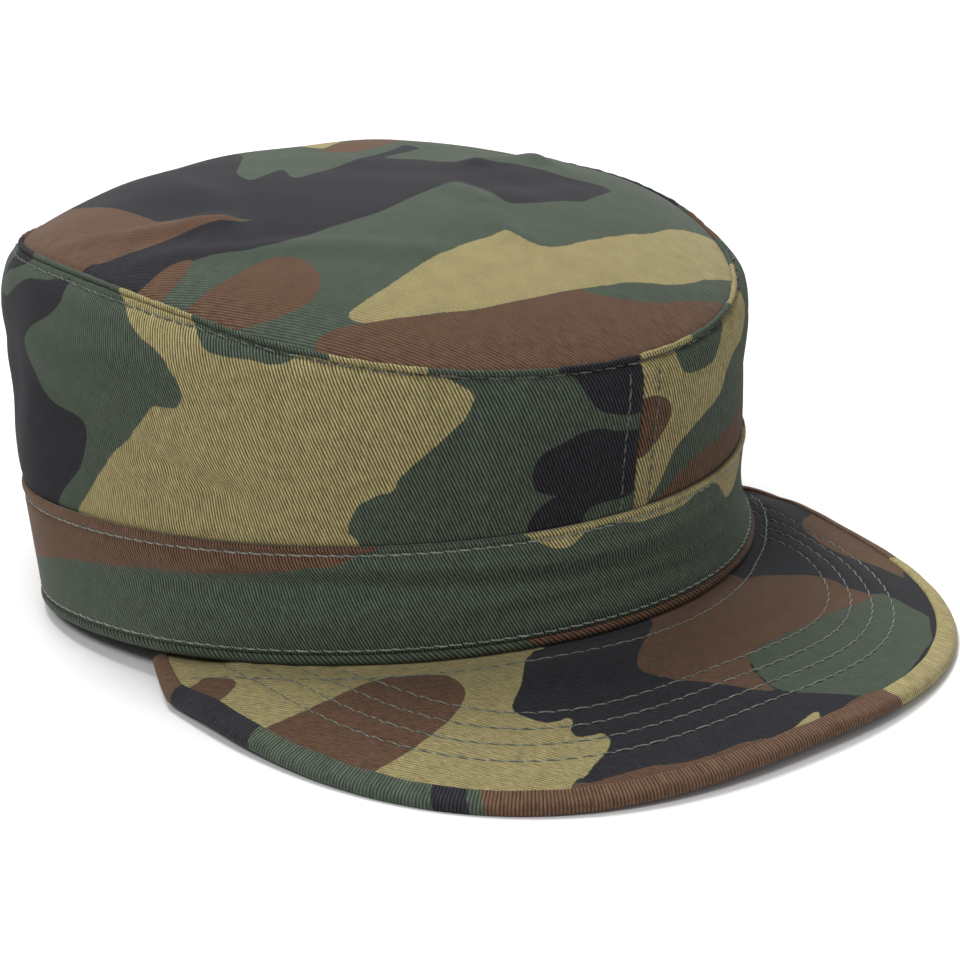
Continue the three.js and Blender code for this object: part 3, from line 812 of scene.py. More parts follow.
VISOR = [
    (BLACK, [(-110, -20), (110, -20), (110, -175), (-110, -175)]),
    (KHAKI, [
        (-28, -92), (-30, -97), (-33.3, -99.2), (-37.5, -103.3), (-41.7, -107.5),
        (-46.7, -110.8), (-48.7, -113.3), (-47.8, -117.5), (-45.8, -120.8), (-43, -122.2),
        (-41.4, -122.3), (-41, -124), (-43.3, -125.8), (-43.7, -128.3), (-40.8, -130),
        (-38.7, -130.8), (-38.7, -133.3), (-40.8, -135.3), (-44.2, -136.7), (-47.5, -137.8),
        (-51, -139.2), (-55, -139.6), (-74, -152), (-116, -120), (-116, -30), (-60, -40),
    ]),
    (BROWN, [
        (-104, -76), (-90.8, -78.3), (-85, -79.7), (-75, -81.7), (-63.3, -83.7),
        (-56.7, -87.5), (-52.5, -92.5), (-51.7, -96.7), (-52.5, -100.8), (-55, -103.3),
        (-60, -105.8), (-66.7, -107.2), (-75, -108), (-83.3, -107.8), (-92, -110),
        (-104, -100),
    ]),
    (BROWN, [
        (-104, -48), (-92, -50.8), (-88.3, -50), (-86.3, -55), (-85.8, -59.2), (-88.3, -61.3),
        (-93, -62), (-104, -62),
    ]),
    (BROWN, [
        (4, -92), (1.7, -102.5), (-3.3, -107.5), (-6.7, -110), (-11.7, -113.3),
        (-15.8, -116.7), (-16.7, -120), (-14.2, -124.2), (-10, -128.3), (-5, -132.5),
        (-0.8, -136.7), (3, -140), (4.2, -139.2), (5, -133.3), (8, -128), (10, -126.7),
        (21.7, -126), (28.3, -125), (40, -122), (48.3, -120), (58, -118), (66, -117),
        (64, -115.6), (61.7, -114.7), (59.2, -111.7), (58, -108.3), (56.7, -105),
        (51.7, -102.8), (47.5, -102), (41.7, -100), (36.7, -97.5), (37, -94), (34, -88),
        (18, -84),
    ]),
    (GREEN, [
        (5, -139.2), (5.8, -133.3), (8.3, -128.3), (11.7, -126.2), (21.7, -124.5),
        (33.3, -122.5), (45, -120), (55, -118.3), (61.7, -116.4), (65.8, -115.8),
        (67.2, -118.3), (67.5, -123.3), (68, -128.6), (63.3, -133.3), (58.3, -138.3),
        (50, -142.5), (41.7, -146.7), (35, -149.2), (28.3, -150.3), (23.3, -150.8),
        (18.3, -148.7), (11.7, -145), (6.7, -141.7),
    ]),
    (BROWN, [
        (-55, -139.7), (-50, -141.7), (-38, -145), (-33, -147.5), (-25, -149.7), (-16.7, -150.3),
        (-11.7, -151.7), (-6.7, -153), (1.7, -153), (11.7, -152.2), (18.3, -150.8),
        (26.7, -150.3), (31, -152.5), (20, -162), (-20, -164), (-60, -150),
    ]),
    (KHAKI, [
        (-7, -153), (-2.4, -152.4), (2.6, -151), (6.8, -150.4), (6, -152.2), (3, -154),
        (-1, -155.2), (-5, -154.6),
    ]),
    (BROWN, [
        (98, -66), (86.7, -70), (81.7, -73.3), (77.5, -78.3), (75, -83.3), (73.7, -88.3),
        (74.2, -93.3), (76.7, -98.3), (79.2, -103.3), (81, -109), (84.2, -106), (92, -100),
        (100, -86),
    ]),
]

# Colours along the bound edge of the peak, from the wearer's right: from and to, in mm of edge
BINDING_LENGTHS = [
    (-5, 20, BROWN), (20, 49.5, BLACK), (97.6, 105.6, BLACK), (109, 217.5, BROWN),
    (217.5, 308, KHAKI), (308, 380, BROWN),
]


def rounded(outline, steps=6):
    """A closed smooth curve through the points of an outline."""
    points = np.array(outline, float)
    before, after, far = np.roll(points, 1, 0), np.roll(points, -1, 0), np.roll(points, -2, 0)
    spans = []
    for t in np.arange(steps) / steps:
        spans.append(0.5 * (2 * points + (after - before) * t
                            + (2 * before - 5 * points + 4 * after - far) * t ** 2
                            + (3 * points - before - 3 * after + far) * t ** 3))
    return np.stack(spans, 1).reshape(-1, 2)


def depth_inside(x, y, outline):
    """Distance to an outline, positive inside it."""
    corners = rounded(outline)
    ends = np.roll(corners, -1, 0)
    nearest = np.full(x.shape, 1e9)
    inside = np.zeros(x.shape, bool)
    for start, end in zip(corners, ends):
        nearest = np.minimum(nearest, segment_distance(x, y, start, end))
        crosses = (start[1] > y) != (end[1] > y)
        rise = end[1] - start[1] if end[1] != start[1] else 1e-9
        inside ^= crosses & (x < start[0] + (y - start[1]) * (end[0] - start[0]) / rise)
    return np.where(inside, nearest, -nearest)


def painted(layers, shape):
    """Depth of every point inside each colour, from layers of (colour, depth) put on in turn."""
    depths = {colour: np.full(shape, -9.0) for colour in (KHAKI, BROWN, BLACK)}
    for colour, depth in layers:
        for other in depths:
            if other == colour:
                depths[other] = np.maximum(depths[other], depth)
            else:
                depths[other] = np.minimum(depths[other], -depth)
    return depths


def printed(x, y, patches):
    """Depths in each colour for points of a chart, from patches laid on in turn."""
    return painted([(colour, depth_inside(x, y, outline)) for colour, outline in patches], x.shape)


def printed_lengths(run, lengths):
    layers = [(colour, np.minimum(run - start, end - run)) for start, end, colour in lengths]
    return painted(layers, run.shape)


# Cloth finishes

def socket_set(tree, node, inputs):
    for name, value in inputs.items():
        socket = node.inputs[name]
        if isinstance(value, bpy.types.NodeSocket):
            tree.links.new(value, socket)
        else:
            socket.default_value = value


def add(tree, kind, inputs=None, **settings):
    node = tree.nodes.new(kind)
    for name, value in settings.items():
        setattr(node, name, value)
    socket_set(tree, node, inputs or {})
    return node


def sums(tree, operation, a, b=0.0, c=0.0):
    return add(tree, "ShaderNodeMath", {0: a, 1: b, 2: c}, operation=operation).outputs[0]


def blend(tree, factor, a, b, mode="MIX"):
    node = add(tree, "ShaderNodeMix", data_type="RGBA", blend_type=mode)
    socket_set(tree, node, {"Factor": factor})
    colour_sockets = [s for s in node.inputs if s.type == "RGBA"]
    for socket, value in zip(colour_sockets, (a, b)):
        if isinstance(value, bpy.types.NodeSocket):
            tree.links.new(value, socket)
        else:
            socket.default_value = value
    return [s for s in node.outputs if s.type == "RGBA"][0]


def ranged(tree, value, low, high, to_low=0.0, to_high=1.0, smooth=False):
    kind = "SMOOTHSTEP" if smooth else "LINEAR"
    return add(tree, "ShaderNodeMapRange", {
        "Value": value, "From Min": low, "From Max": high, "To Min": to_low, "To Max": to_high,
    }, interpolation_type=kind).outputs["Result"]


INK = {
    KHAKI: (0.282, 0.238, 0.113, 1),
    GREEN: (0.062, 0.079, 0.058, 1),
    BROWN: (0.106, 0.061, 0.039, 1),
    BLACK: (0.0235, 0.0230, 0.0275, 1),
}
BARE_THREAD = (0.30, 0.29, 0.22, 1)
REVERSE_COLOUR = (0.26, 0.27, 0.21, 1)

# Twill. Noise scales are for each millimetre of cloth.
SLOW_NOISE = 0.22
QUICK_NOISE = 1.6
BEND_NOISE = 0.05
SPECK_NOISE = 3.4
FLECK_NOISE = 2.6
GRAIN_ALONG = 0.28
RIB_BEND = 0.5
RIB_GRAIN = 0.34
RIB_BREAKS = 0.26
THREAD_STEP = 0.37
THREADS_ALONG = 0.62
THREAD_RELIEF = 0.04
EDGE_WOBBLE = (0.8, -0.4)
EDGE_NIBBLE = (0.4, -0.25)
EDGE_IN_RIBS = 0.10
EDGE_SOFTNESS = 0.14
BLOTCHES = (0.93, 1.06)
# Painted shade in the ribs' valleys and painted highlight on their crests, as shares of the colour
VALLEY_SHADE = 0.66
CREST_HIGHLIGHT = 0.50
SPECK_TONES = (0.70, 1.30)
BARE_SHARE = 0.10
FLECK_TINT = 0.26
FLECK_SHARE = 0.5
REVERSE_SHARE = 0.62
BUMP_STRENGTH = 0.75
BUMP_HEIGHT = 1.6


def blank_material(name):
    material = bpy.data.materials.new(name)
    material.use_nodes = True
    material.node_tree.nodes.clear()
    return material, material.node_tree


def finish_material(tree, inputs):
    shader = add(tree, "ShaderNodeBsdfPrincipled", inputs)
    out = add(tree, "ShaderNodeOutputMaterial")
    tree.links.new(shader.outputs["BSDF"], out.inputs["Surface"])


def noise(tree, place, scale, detail, roughness=0.5):
    return add(tree, "ShaderNodeTexNoise", {
        "Vector": place, "Scale": scale, "Detail": detail, "Roughness": roughness,
    }).outputs


def wave(tree, turns):
    """A wave from 0 to 1, one for each turn."""
    sine = sums(tree, "SINE", sums(tree, "MULTIPLY", turns, 2 * math.pi))
    return sums(tree, "MULTIPLY_ADD", sine, 0.5, 0.5)


def stored(tree, name):
    return add(tree, "ShaderNodeAttribute", attribute_name=name).outputs["Fac"]


def toned(tree, colour, tone):
    """The colour made darker or lighter by a tone around 1."""
    grey = add(tree, "ShaderNodeCombineColor", {0: tone, 1: tone, 2: tone}).outputs[0]
    return blend(tree, 1.0, colour, grey, "MULTIPLY")


def twill_relief(tree, place, rib_angle, rib_pitch):
    """The ribs from 0 to 1, the same with their single threads, and the grain that breaks them."""
    split = add(tree, "ShaderNodeSeparateXYZ", {0: place}).outputs
    u, v = split[0], split[1]
    cosine, sine = math.cos(rib_angle) / rib_pitch, math.sin(rib_angle) / rib_pitch
    across = sums(tree, "MULTIPLY_ADD", u, sine, sums(tree, "MULTIPLY", v, -cosine))
    along = sums(tree, "MULTIPLY_ADD", u, cosine, sums(tree, "MULTIPLY", v, sine))
    bent = noise(tree, place, BEND_NOISE, 0.0)["Fac"]
    across = sums(tree, "MULTIPLY_ADD", bent, RIB_BEND, across)
    drawn_out = add(tree, "ShaderNodeCombineXYZ", {
        0: sums(tree, "MULTIPLY", along, GRAIN_ALONG), 1: across,
    }).outputs[0]
    grain = noise(tree, drawn_out, 1.0, 2.0, 0.6)["Fac"]
    across = sums(tree, "MULTIPLY_ADD", grain, RIB_GRAIN, across)
    rib = wave(tree, across)
    row = sums(tree, "FLOOR", across)
    step = sums(tree, "MULTIPLY", along, THREADS_ALONG)
    thread = wave(tree, sums(tree, "MULTIPLY_ADD", row, THREAD_STEP, step))
    plain_rib = sums(tree, "MULTIPLY", rib, 1 - THREAD_RELIEF)
    relief = sums(tree, "MULTIPLY_ADD", thread, THREAD_RELIEF, plain_rib)
    return rib, relief, grain


def print_colour(tree, slow, quick, rib):
    """The print, its edges wandering a little and nibbled by the ribs."""
    wobble = sums(tree, "MULTIPLY_ADD", slow, *EDGE_WOBBLE)
    nibble = sums(tree, "MULTIPLY_ADD", quick, *EDGE_NIBBLE)
    nibble = sums(tree, "MULTIPLY_ADD", rib, EDGE_IN_RIBS, nibble)
    ragged = sums(tree, "ADD", wobble, nibble)
    colour = INK[GREEN]
    for ink in (KHAKI, BROWN, BLACK):
        edge = sums(tree, "ADD", stored(tree, ink), ragged)
        mask = ranged(tree, edge, -EDGE_SOFTNESS, EDGE_SOFTNESS, smooth=True)
        colour = blend(tree, mask, colour, INK[ink])
    return colour


def printed_twill(name, rib_angle, rib_pitch, rib_strength=1.0, rib_depth=0.12, painted_light=1.0,
                  sheen=0.10):
    """Camouflage print on cotton twill. Ribs run at rib_angle degrees over the cloth chart."""
    material, tree = blank_material(name)
    chart = add(tree, "ShaderNodeUVMap", uv_map="cloth").outputs["UV"]
    place = add(tree, "ShaderNodeVectorMath", {0: chart, 1: (1000, 1000, 1000)},
                operation="MULTIPLY").outputs[0]
    slow = noise(tree, place, SLOW_NOISE, 2.0)["Fac"]
    quick = noise(tree, place, QUICK_NOISE, 1.0)["Fac"]
    specks = noise(tree, place, SPECK_NOISE, 2.0, 0.7)["Fac"]
    flecks = noise(tree, place, FLECK_NOISE, 3.0)["Color"]
    rib, relief, grain = twill_relief(tree, place, math.radians(rib_angle), rib_pitch)
    ribbed = sums(tree, "SUBTRACT", 1.0, stored(tree, "nap"))

    colour = print_colour(tree, slow, quick, rib)
    blotch_low, blotch_high = BLOTCHES
    # The blotches, a slow random unevenness of tone, are scaled here by a painted brightness that
    # makes the whole cloth lighter, standing in for more light falling on that piece
    blotch_and_painted_light = ranged(tree, slow, 0.3, 0.7, blotch_low * painted_light, blotch_high * painted_light)
    colour = toned(tree, colour, blotch_and_painted_light)

    # The ribs are painted into the colour: shade in their valleys and a highlight on their crests,
    # broken by the grain and toned by random specks. Nap takes the painted ribs away
    low, high = 1 - VALLEY_SHADE * rib_strength, 1 + CREST_HIGHLIGHT * rib_strength
    rib_shade_and_specks = sums(tree, "SUBTRACT", ranged(tree, relief, 0.05, 0.8, low, high), 1.0)
    rib_shade_and_specks = sums(tree, "MULTIPLY_ADD", rib_shade_and_specks, ribbed, 1.0)
    broken = ranged(tree, grain, 0.3, 0.7, -RIB_BREAKS, RIB_BREAKS)
    broken = sums(tree, "MULTIPLY_ADD", broken, ribbed, 1.0)
    rib_shade_and_specks = sums(tree, "MULTIPLY", rib_shade_and_specks, broken)
    rib_shade_and_specks = sums(tree, "MULTIPLY", rib_shade_and_specks, ranged(tree, specks, 0.25, 0.75, *SPECK_TONES))
    colour = toned(tree, colour, rib_shade_and_specks)

    worn = ranged(tree, specks, 0.60, 0.72, 0.0, BARE_SHARE * rib_strength)
    colour = blend(tree, worn, colour, BARE_THREAD)
    tint = blend(tree, FLECK_TINT, (1, 1, 1, 1), flecks, "OVERLAY")
    colour = blend(tree, FLECK_SHARE, colour, tint, "MULTIPLY")
    pale = blend(tree, REVERSE_SHARE, colour, REVERSE_COLOUR)
    colour = blend(tree, ranged(tree, stored(tree, "reverse"), 0.4, 0.6), colour, pale)

    bump = add(tree, "ShaderNodeBump", {
        "Height": sums(tree, "MULTIPLY", relief, ribbed), "Strength": BUMP_STRENGTH,
        "Distance": rib_depth * MM * BUMP_HEIGHT,
    })
    finish_material(tree, {
        "Base Color": colour, "Normal": bump.outputs["Normal"], "Roughness": 0.86,
        "Specular IOR Level": 0.08, "Sheen Weight": sheen, "Sheen Roughness": 0.4,
    })
    return material


def thread_finish(name, dark, light):
    material, tree = blank_material(name)
    place = add(tree, "ShaderNodeTexCoord").outputs["Object"]
    tone = ranged(tree, noise(tree, place, 900.0, 2.0)["Fac"], 0.3, 0.7)
    bump = add(tree, "ShaderNodeBump", {"Height": tone, "Strength": 0.5, "Distance": 0.1 * MM})
    finish_material(tree, {
        "Base Color": blend(tree, tone, dark, light), "Normal": bump.outputs["Normal"],
        "Roughness": 0.6, "Sheen Weight": 0.1,
    })
    return material


def floor_finish():
    material, tree = blank_material("pale_floor")
    finish_material(tree, {"Base Color": (0.88, 0.88, 0.88, 1), "Roughness": 0.8})
    return material


# Meshes

def new_object(name, vertices, faces):
    mesh = bpy.data.meshes.new(name)
    mesh.from_pydata(vertices, [], faces)
    mesh.update()
    piece = bpy.data.objects.new(name, mesh)
    bpy.context.scene.collection.objects.link(piece)
    return piece


def signed_volume(points, quads):
    a, b, c, d = (points[quads[:, i]] for i in range(4))
    halves = ((a, b, c), (a, c, d))
    return sum((p * np.cross(q, r)).sum() for p, q, r in halves) / 6


def sewn_shell(name, outer, inner, chart, colours, closed, material, node, presses=False):
    """A cloth wall between two skins given as columns of points, with its chart and print.

    outer and inner hold [column, row] points, chart the u and v of each, and colours the depth
    in each ink. A closed wall joins its last column to its first, an open one is capped.
    """
    columns, rows = outer.shape[:2]
    spans = columns if closed else columns - 1
    points = settled(np.concatenate([outer, inner], 1).reshape(-1, 3), presses)
    out_id = np.arange(columns * 2 * rows).reshape(columns, 2 * rows)[:, :rows]
    in_id = out_id + rows
    here, there = np.arange(spans), (np.arange(spans) + 1) % columns
    u, v = chart
    width = u[-1, 0] - u[0, 0]
    step = width / (columns - 1)
    goes_round = closed and abs(width) > CHART_RADIUS
    quads, corners = [], []

    def patch(ids, column_rows, flip):
        a, b = ids[here][:, column_rows[:-1]], ids[there][:, column_rows[:-1]]
        c, d = ids[there][:, column_rows[1:]], ids[here][:, column_rows[1:]]
        keep_quad([a, b, c, d], column_rows, flip)

    def keep_quad(ring, column_rows, flip):
        low, high = column_rows[:-1], column_rows[1:]
        u_here, u_there = u[here], u[here] + step if goes_round else u[there]
        places = [
            (u_here[:, low], v[here][:, low]), (u_there[:, low], v[there][:, low]),
            (u_there[:, high], v[there][:, high]), (u_here[:, high], v[here][:, high]),
        ]
        order = [0, 3, 2, 1] if flip else [0, 1, 2, 3]
        quads.append(np.stack([ring[k].ravel() for k in order], -1))
        corners.append(np.stack([
            np.stack([places[k][0].ravel(), places[k][1].ravel()], -1) for k in order], 1))

    every = np.arange(rows)
    patch(out_id, every, False)
    patch(in_id, every, True)
    for row, flip in ((0, True), (rows - 1, False)):
        ring = [out_id[here, row], out_id[there, row], in_id[there, row], in_id[here, row]]
        keep_quad([r[:, None] for r in ring], np.array([row, row]), flip)
    if not closed:
        for column, flip in ((0, False), (columns - 1, True)):
            a, b = out_id[column, :-1], out_id[column, 1:]
            c, d = in_id[column, 1:], in_id[column, :-1]
            ring = [a, b, c, d]
            order = [0, 3, 2, 1] if flip else [0, 1, 2, 3]
            quads.append(np.stack([ring[k] for k in order], -1))
            place = np.stack([u[column], v[column]], -1)
            ends = [place[:-1], place[1:], place[1:], place[:-1]]
            corners.append(np.stack([ends[k] for k in order], 1))
    quads = np.concatenate(quads)
    corners = np.concatenate(corners)
    if signed_volume(points, quads) < 0:
        quads, corners = quads[:, ::-1], corners[:, ::-1]
    piece = new_object(name, points.tolist(), quads.tolist())
    mesh = piece.data
    layer = mesh.uv_layers.new(name="cloth")
    layer.data.foreach_set("uv", (corners.reshape(-1, 2) * MM).astype(np.float32).ravel())
    for ink, depth in colours.items():
        both = np.concatenate([depth, depth], 1).ravel()
        store_values(mesh, ink, both)
    back_side = np.concatenate([np.zeros((columns, rows)), np.ones((columns, rows))], 1).ravel()
    store_values(mesh, "reverse", back_side)
    mesh.shade_smooth()
    mesh.materials.append(material)
    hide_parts(node)
    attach(piece, "root")
    return piece


def store_values(mesh, name, values):
    attribute = mesh.attributes.new(name, "FLOAT", "POINT")
    attribute.data.foreach_set("value", np.asarray(values, np.float32))


def smooth_nap(u):
    """How far the ribs are worn smooth, behind the wearer's right ear."""
    return SIDE_NAP * smoothstep(-u, *SIDE_NAP_STARTS) * (1 - smoothstep(-u, *SIDE_NAP_ENDS))


def rows_between(*stops):
    """Heights from the first stop on, each later stop given with the number of steps to it."""
    rows = [np.array([stops[0]], float)]
    for steps, stop in stops[1:]:
        rows.append(np.linspace(rows[-1][-1], stop, steps + 1)[1:])
    return np.concatenate(rows)


def seam_pucker(u):
    """How far the rolled top edge wanders, most where it is pinched over the right temple."""
    pucker = 0.10 * np.sin(u / 1.9) * np.sin(u / 11.0) + 0.06 * np.sin(u / 5.3)
    return pucker + SEAM_PINCH * np.sin(u / 1.7) * bell((u - PINCH_AT) / PINCH_SPAN)


def crown_side(name, start, end, patches, material):
    """One side panel, from its tucked foot up to the rolled edge at the top seam."""
    turns = np.linspace(start, end, SIDE_COLUMNS)
    u = turns[:, None] * CHART_RADIUS
    angle = u / CHART_RADIUS
    height = crown_height(angle)
    shares = rows_between(*SIDE_ROWS)[None, :]
    v_wall = shares * (height - DITCH_BELOW + WALL_PAST_DITCH)
    tucked = -np.array(TUCK_ROWS)[None, :] + 0 * u
    foot = band_radius(angle, BAND_HEIGHT + tucked) - BAND_WALL - GAP
    foot = foot + np.minimum(0, band_bends(u, BAND_HEIGHT + tucked))
    low = polar(angle, foot, BAND_TOP + tucked)
    wall = side_skin(u + 0 * v_wall, v_wall)

    wander = 0.5 * seam_pucker(u)
    centre_r = seam_radius(angle) - ROLL_RADIUS + wander
    centre_z = BAND_TOP + height + ROLL_LIFT + wander
    roll_turn = np.radians(np.linspace(*ROLL_TURNS, ROLL_ROWS))[None, :]
    fat = ROLL_RADIUS * (1 + 0.09 * np.sin(u / PUCKER_RUN) + 0.07 * np.sin(u / 2.7 + 1.0))
    ends = np.minimum(np.abs(turns - start), np.abs(turns - end))[:, None] * CHART_RADIUS
    fat = fat * (1 - ROLL_END_THINNER * bell(ends / ROLL_END_SPAN))
    roll = polar(angle, centre_r + fat * np.cos(roll_turn), centre_z + fat * np.sin(roll_turn))
    outer = np.concatenate([low, wall, roll], 1)

    inside_wall = side_skin(u + 0 * v_wall, v_wall)
    inside_low = low.copy()
    for skin in (inside_wall, inside_low):
        shrink = 1 - CROWN_WALL / np.hypot(skin[..., 0], skin[..., 1])
        skin[..., 0] *= shrink
        skin[..., 1] *= shrink
    hem_drop = np.linspace(*HEM_DROPS, ROLL_ROWS)[None, ::-1]
    hem = polar(angle, centre_r - ROLL_RADIUS - HEM_INSIDE + 0 * hem_drop,
                centre_z - hem_drop + HEM_LIFT)
    inner = np.concatenate([inside_low, inside_wall, hem], 1)

    roll_run = np.radians(np.linspace(0, ROLL_CHART_TURN, ROLL_ROWS))[None, :] * ROLL_RADIUS
    v = np.concatenate([tucked, v_wall, height + 1.0 + roll_run], 1)
    u_all = u + 0 * v
    colours = printed(u_all, v, patches)
    strip = printed_lengths(u_all[:, -ROLL_ROWS:], ROLL_LENGTHS)
    for ink in colours:
        colours[ink][:, -ROLL_ROWS:] = strip[ink]
    colours["nap"] = smooth_nap(u_all)
    return sewn_shell(name, outer, inner, (u_all, v), colours, False, material,
                      name)


def crown_top(material):
    """The round top, from its tucked edge in to a small closed middle."""
    turns = np.linspace(0, 2 * math.pi, TOP_COLUMNS, endpoint=False)[:, None]
    shares = rows_between(*TOP_ROWS)[None, :]
    edge = seam_radius(turns) - TOP_INSIDE_ROLL * ROLL_RADIUS
    x = edge * shares * np.sin(turns)
    y = -edge * shares * np.cos(turns)
    from_edge = (1 - shares) * edge
    z = top_height(x, y) - TOP_EDGE_SINK * bell(from_edge / TOP_EDGE_SPAN)
    outer = np.stack([x, y, z], -1)
    inner = outer - np.array([0, 0, TOP_WALL])
    colours = printed(x, y, CROWN_TOP)
    colours["nap"] = TOP_NAP - TOP_NAP * bell(from_edge / TOP_NAP_FROM_EDGE)
    piece = sewn_shell("crown_top", outer, inner, (x, y), colours, True, material,
                       "crown_top")
    close_middle(piece, x, y)
    return piece


def close_middle(piece, x, y):
    """Closes the top's middle hole with two small caps instead of the strip between its skins."""
    columns, rows = x.shape
    mesh = piece.data
    work = bmesh.new()
    work.from_mesh(mesh)
    work.verts.ensure_lookup_table()
    upper = [work.verts[i * 2 * rows + rows - 1] for i in range(columns)]
    lower = [work.verts[i * 2 * rows + 2 * rows - 1] for i in range(columns)]
    across = [e for a, b in zip(upper, lower) for e in a.link_edges if e.other_vert(a) is b]
    strip = {face for e in across for face in e.link_faces}
    bmesh.ops.delete(work, geom=list(strip), context="FACES_ONLY")
    bmesh.ops.delete(work, geom=[e for e in across if e.is_valid], context="EDGES")
    chart = work.loops.layers.uv["cloth"]
    for ring in (upper, lower):
        middle = work.verts.new(sum((p.co for p in ring), Vector()) / columns)
        for key in work.verts.layers.float.keys():
            layer = work.verts.layers.float[key]
            middle[layer] = ring[0][layer]
        for a, b in zip(ring, ring[1:] + ring[:1]):
            face = work.faces.new((a, b, middle))
            face.smooth = True
            for loop in face.loops:
                k = ring.index(loop.vert) if loop.vert is not middle else None
                loop[chart].uv = (0, 0) if k is None else (x[k, -1] * MM, y[k, -1] * MM)
    bmesh.ops.recalc_face_normals(work, faces=work.faces)
    work.to_mesh(mesh)
    work.free()
    mesh.update()


def all_round(columns):
    """Places along the side all the way round, as a column."""
    return (np.linspace(-math.pi, math.pi, columns, endpoint=False) * CHART_RADIUS)[:, None]


def headband(material):
    """The doubled band, its foot and head pulled in by the two rows of stitches."""
    u = all_round(BAND_COLUMNS)
    v = rows_between(*BAND_ROWS)[None, :]
    u_all, v_all = u + 0 * v, v + 0 * u
    outer = band_skin(u_all, v_all)
    angle = u_all / CHART_RADIUS
    lift = rim_height(angle) * (1 - v_all / BAND_HEIGHT)
    outer_radius = np.hypot(outer[..., 0], outer[..., 1])
    smooth_radius = band_radius(angle, v_all) + band_bends(u_all, v_all)
    inner_radius = np.minimum(outer_radius, smooth_radius) - BAND_WALL
    inner = polar(angle, inner_radius, BAND_BOTTOM + lift + v_all)
    colours = printed(u_all, v_all, BAND)
    colours["nap"] = smooth_nap(u_all)
    return sewn_shell("headband", outer, inner, (u_all, v_all), colours, True, material,
                      "band")


def lower_welt(material):
    """The thin roll of cloth under the band, pressed flat where it meets the floor."""
    u = all_round(BAND_COLUMNS)
    angle = u / CHART_RADIUS
    centre = rim_radius(angle) - WELT_RADIUS + corner_bend(u) + foot_in(u)
    centre = centre + WELT_UNEVEN * np.sin(u / 6.7) * np.sin(u / 23.0)
    outward = np.radians(np.linspace(-90, 90, WELT_HALF_ROWS))[None, :]

    def ring(turn):
        return polar(angle, centre + WELT_HALF_WIDTH * np.cos(turn),
                     rim_height(angle) + WELT_RADIUS + WELT_HALF_HEIGHT * np.sin(turn))

    outer, inner = ring(outward), ring(math.pi - outward)
    v = WELT_RADIUS * (outward + 0 * u)
    u_all = u + 0 * v
    colours = printed_lengths(u_all + 2.5 * np.sin(v), WELT_LENGTHS)
    return sewn_shell("lower_welt", outer, inner, (u_all, v), colours, True, material,
                      "bottom_welt", presses=True)


def peak(material):
    """The peak's cloth plate, from inside its bound edge to where it tucks under the rim."""
    place, inward, _ = visor_outline(PEAK_STEPS)
    first = place[0]
    reach = math.atan2(first[0], -first[1])
    angle = np.linspace(reach, -reach, len(place))
    root = polar(angle, rim_radius(angle) - VISOR_TUCK, 0)[:, :2]
    edge = place + inward * (BINDING_WALL + VISOR_WALL / 2 + GAP)
    share = np.linspace(0, 1, PEAK_ROWS)[None, :, None]
    plan = edge[:, None] * (1 - share) + root[:, None] * share
    x, y = plan[..., 0], plan[..., 1]
    outer = visor_skin(x, y)
    inner = np.stack([x, y, visor_height(x, y) - VISOR_WALL], -1)
    colours = printed(x, y, VISOR)
    colours["nap"] = PEAK_NAP * smoothstep(x, *PEAK_NAP_STARTS)
    return sewn_shell("peak_cloth", outer, inner, (x, y), colours, False, material,
                      "visor", presses=True)


def bound_edge(material):
    """The bias strip folded over the peak's outer edge."""
    place, inward, run = visor_outline(BINDING_STEPS)
    thick, hollow = VISOR_WALL / 2 + FOLD_OUTSIDE, VISOR_WALL / 2 + FOLD_INSIDE
    turn = np.radians(np.linspace(-90, 90, BINDING_BEND_ROWS))
    legs = np.linspace(1, 0, BINDING_LEG_ROWS)[:-1]
    width = np.interp(run, *zip(*BINDING_WIDTHS))

    def fold(half, depth):
        bow = depth + half * FOLD_FULLNESS * (1 - np.cos(turn))
        leg_in = FOLD_FROM + legs[None, :] * (width[:, None] - FOLD_FROM)
        flat_in = np.concatenate([leg_in, bow[None, :] + 0 * width[:, None], leg_in[:, ::-1]], 1)
        hem = np.where(legs > 0.95, FOLD_HEM, 1.0)
        flat_up = np.concatenate([-half * hem, half * np.sin(turn), half * hem[::-1]])
        return flat_in, flat_up

    def skin(half, depth):
        inset, up = fold(half, depth)
        pucker = FOLD_PUCKER * np.sin(run / 2.3) * np.sin(run / 17.0)
        plan = place[:, None] + inward[:, None] * inset[:, :, None]
        height = visor_height(plan[..., 0], plan[..., 1]) - VISOR_WALL / 2
        return np.concatenate([plan, (height + up * (1 + pucker[:, None]))[..., None]], -1)

    outer, inner = skin(thick, 0.0), skin(hollow, FOLD_WALL)
    inset, up = fold(thick, 0.0)
    inset = inset[0]
    across = np.concatenate([[0], np.cumsum(np.hypot(np.diff(inset), np.diff(up)))])
    u = run[:, None] + 0 * across[None, :]
    v = across[None, :] + 0 * u
    colours = printed_lengths(u + FOLD_BIAS * (v - across.mean()), BINDING_LENGTHS)
    return sewn_shell("bound_edge", outer, inner, (u, v), colours, False, material,
                      "visor_binding", presses=True)


# Stitches

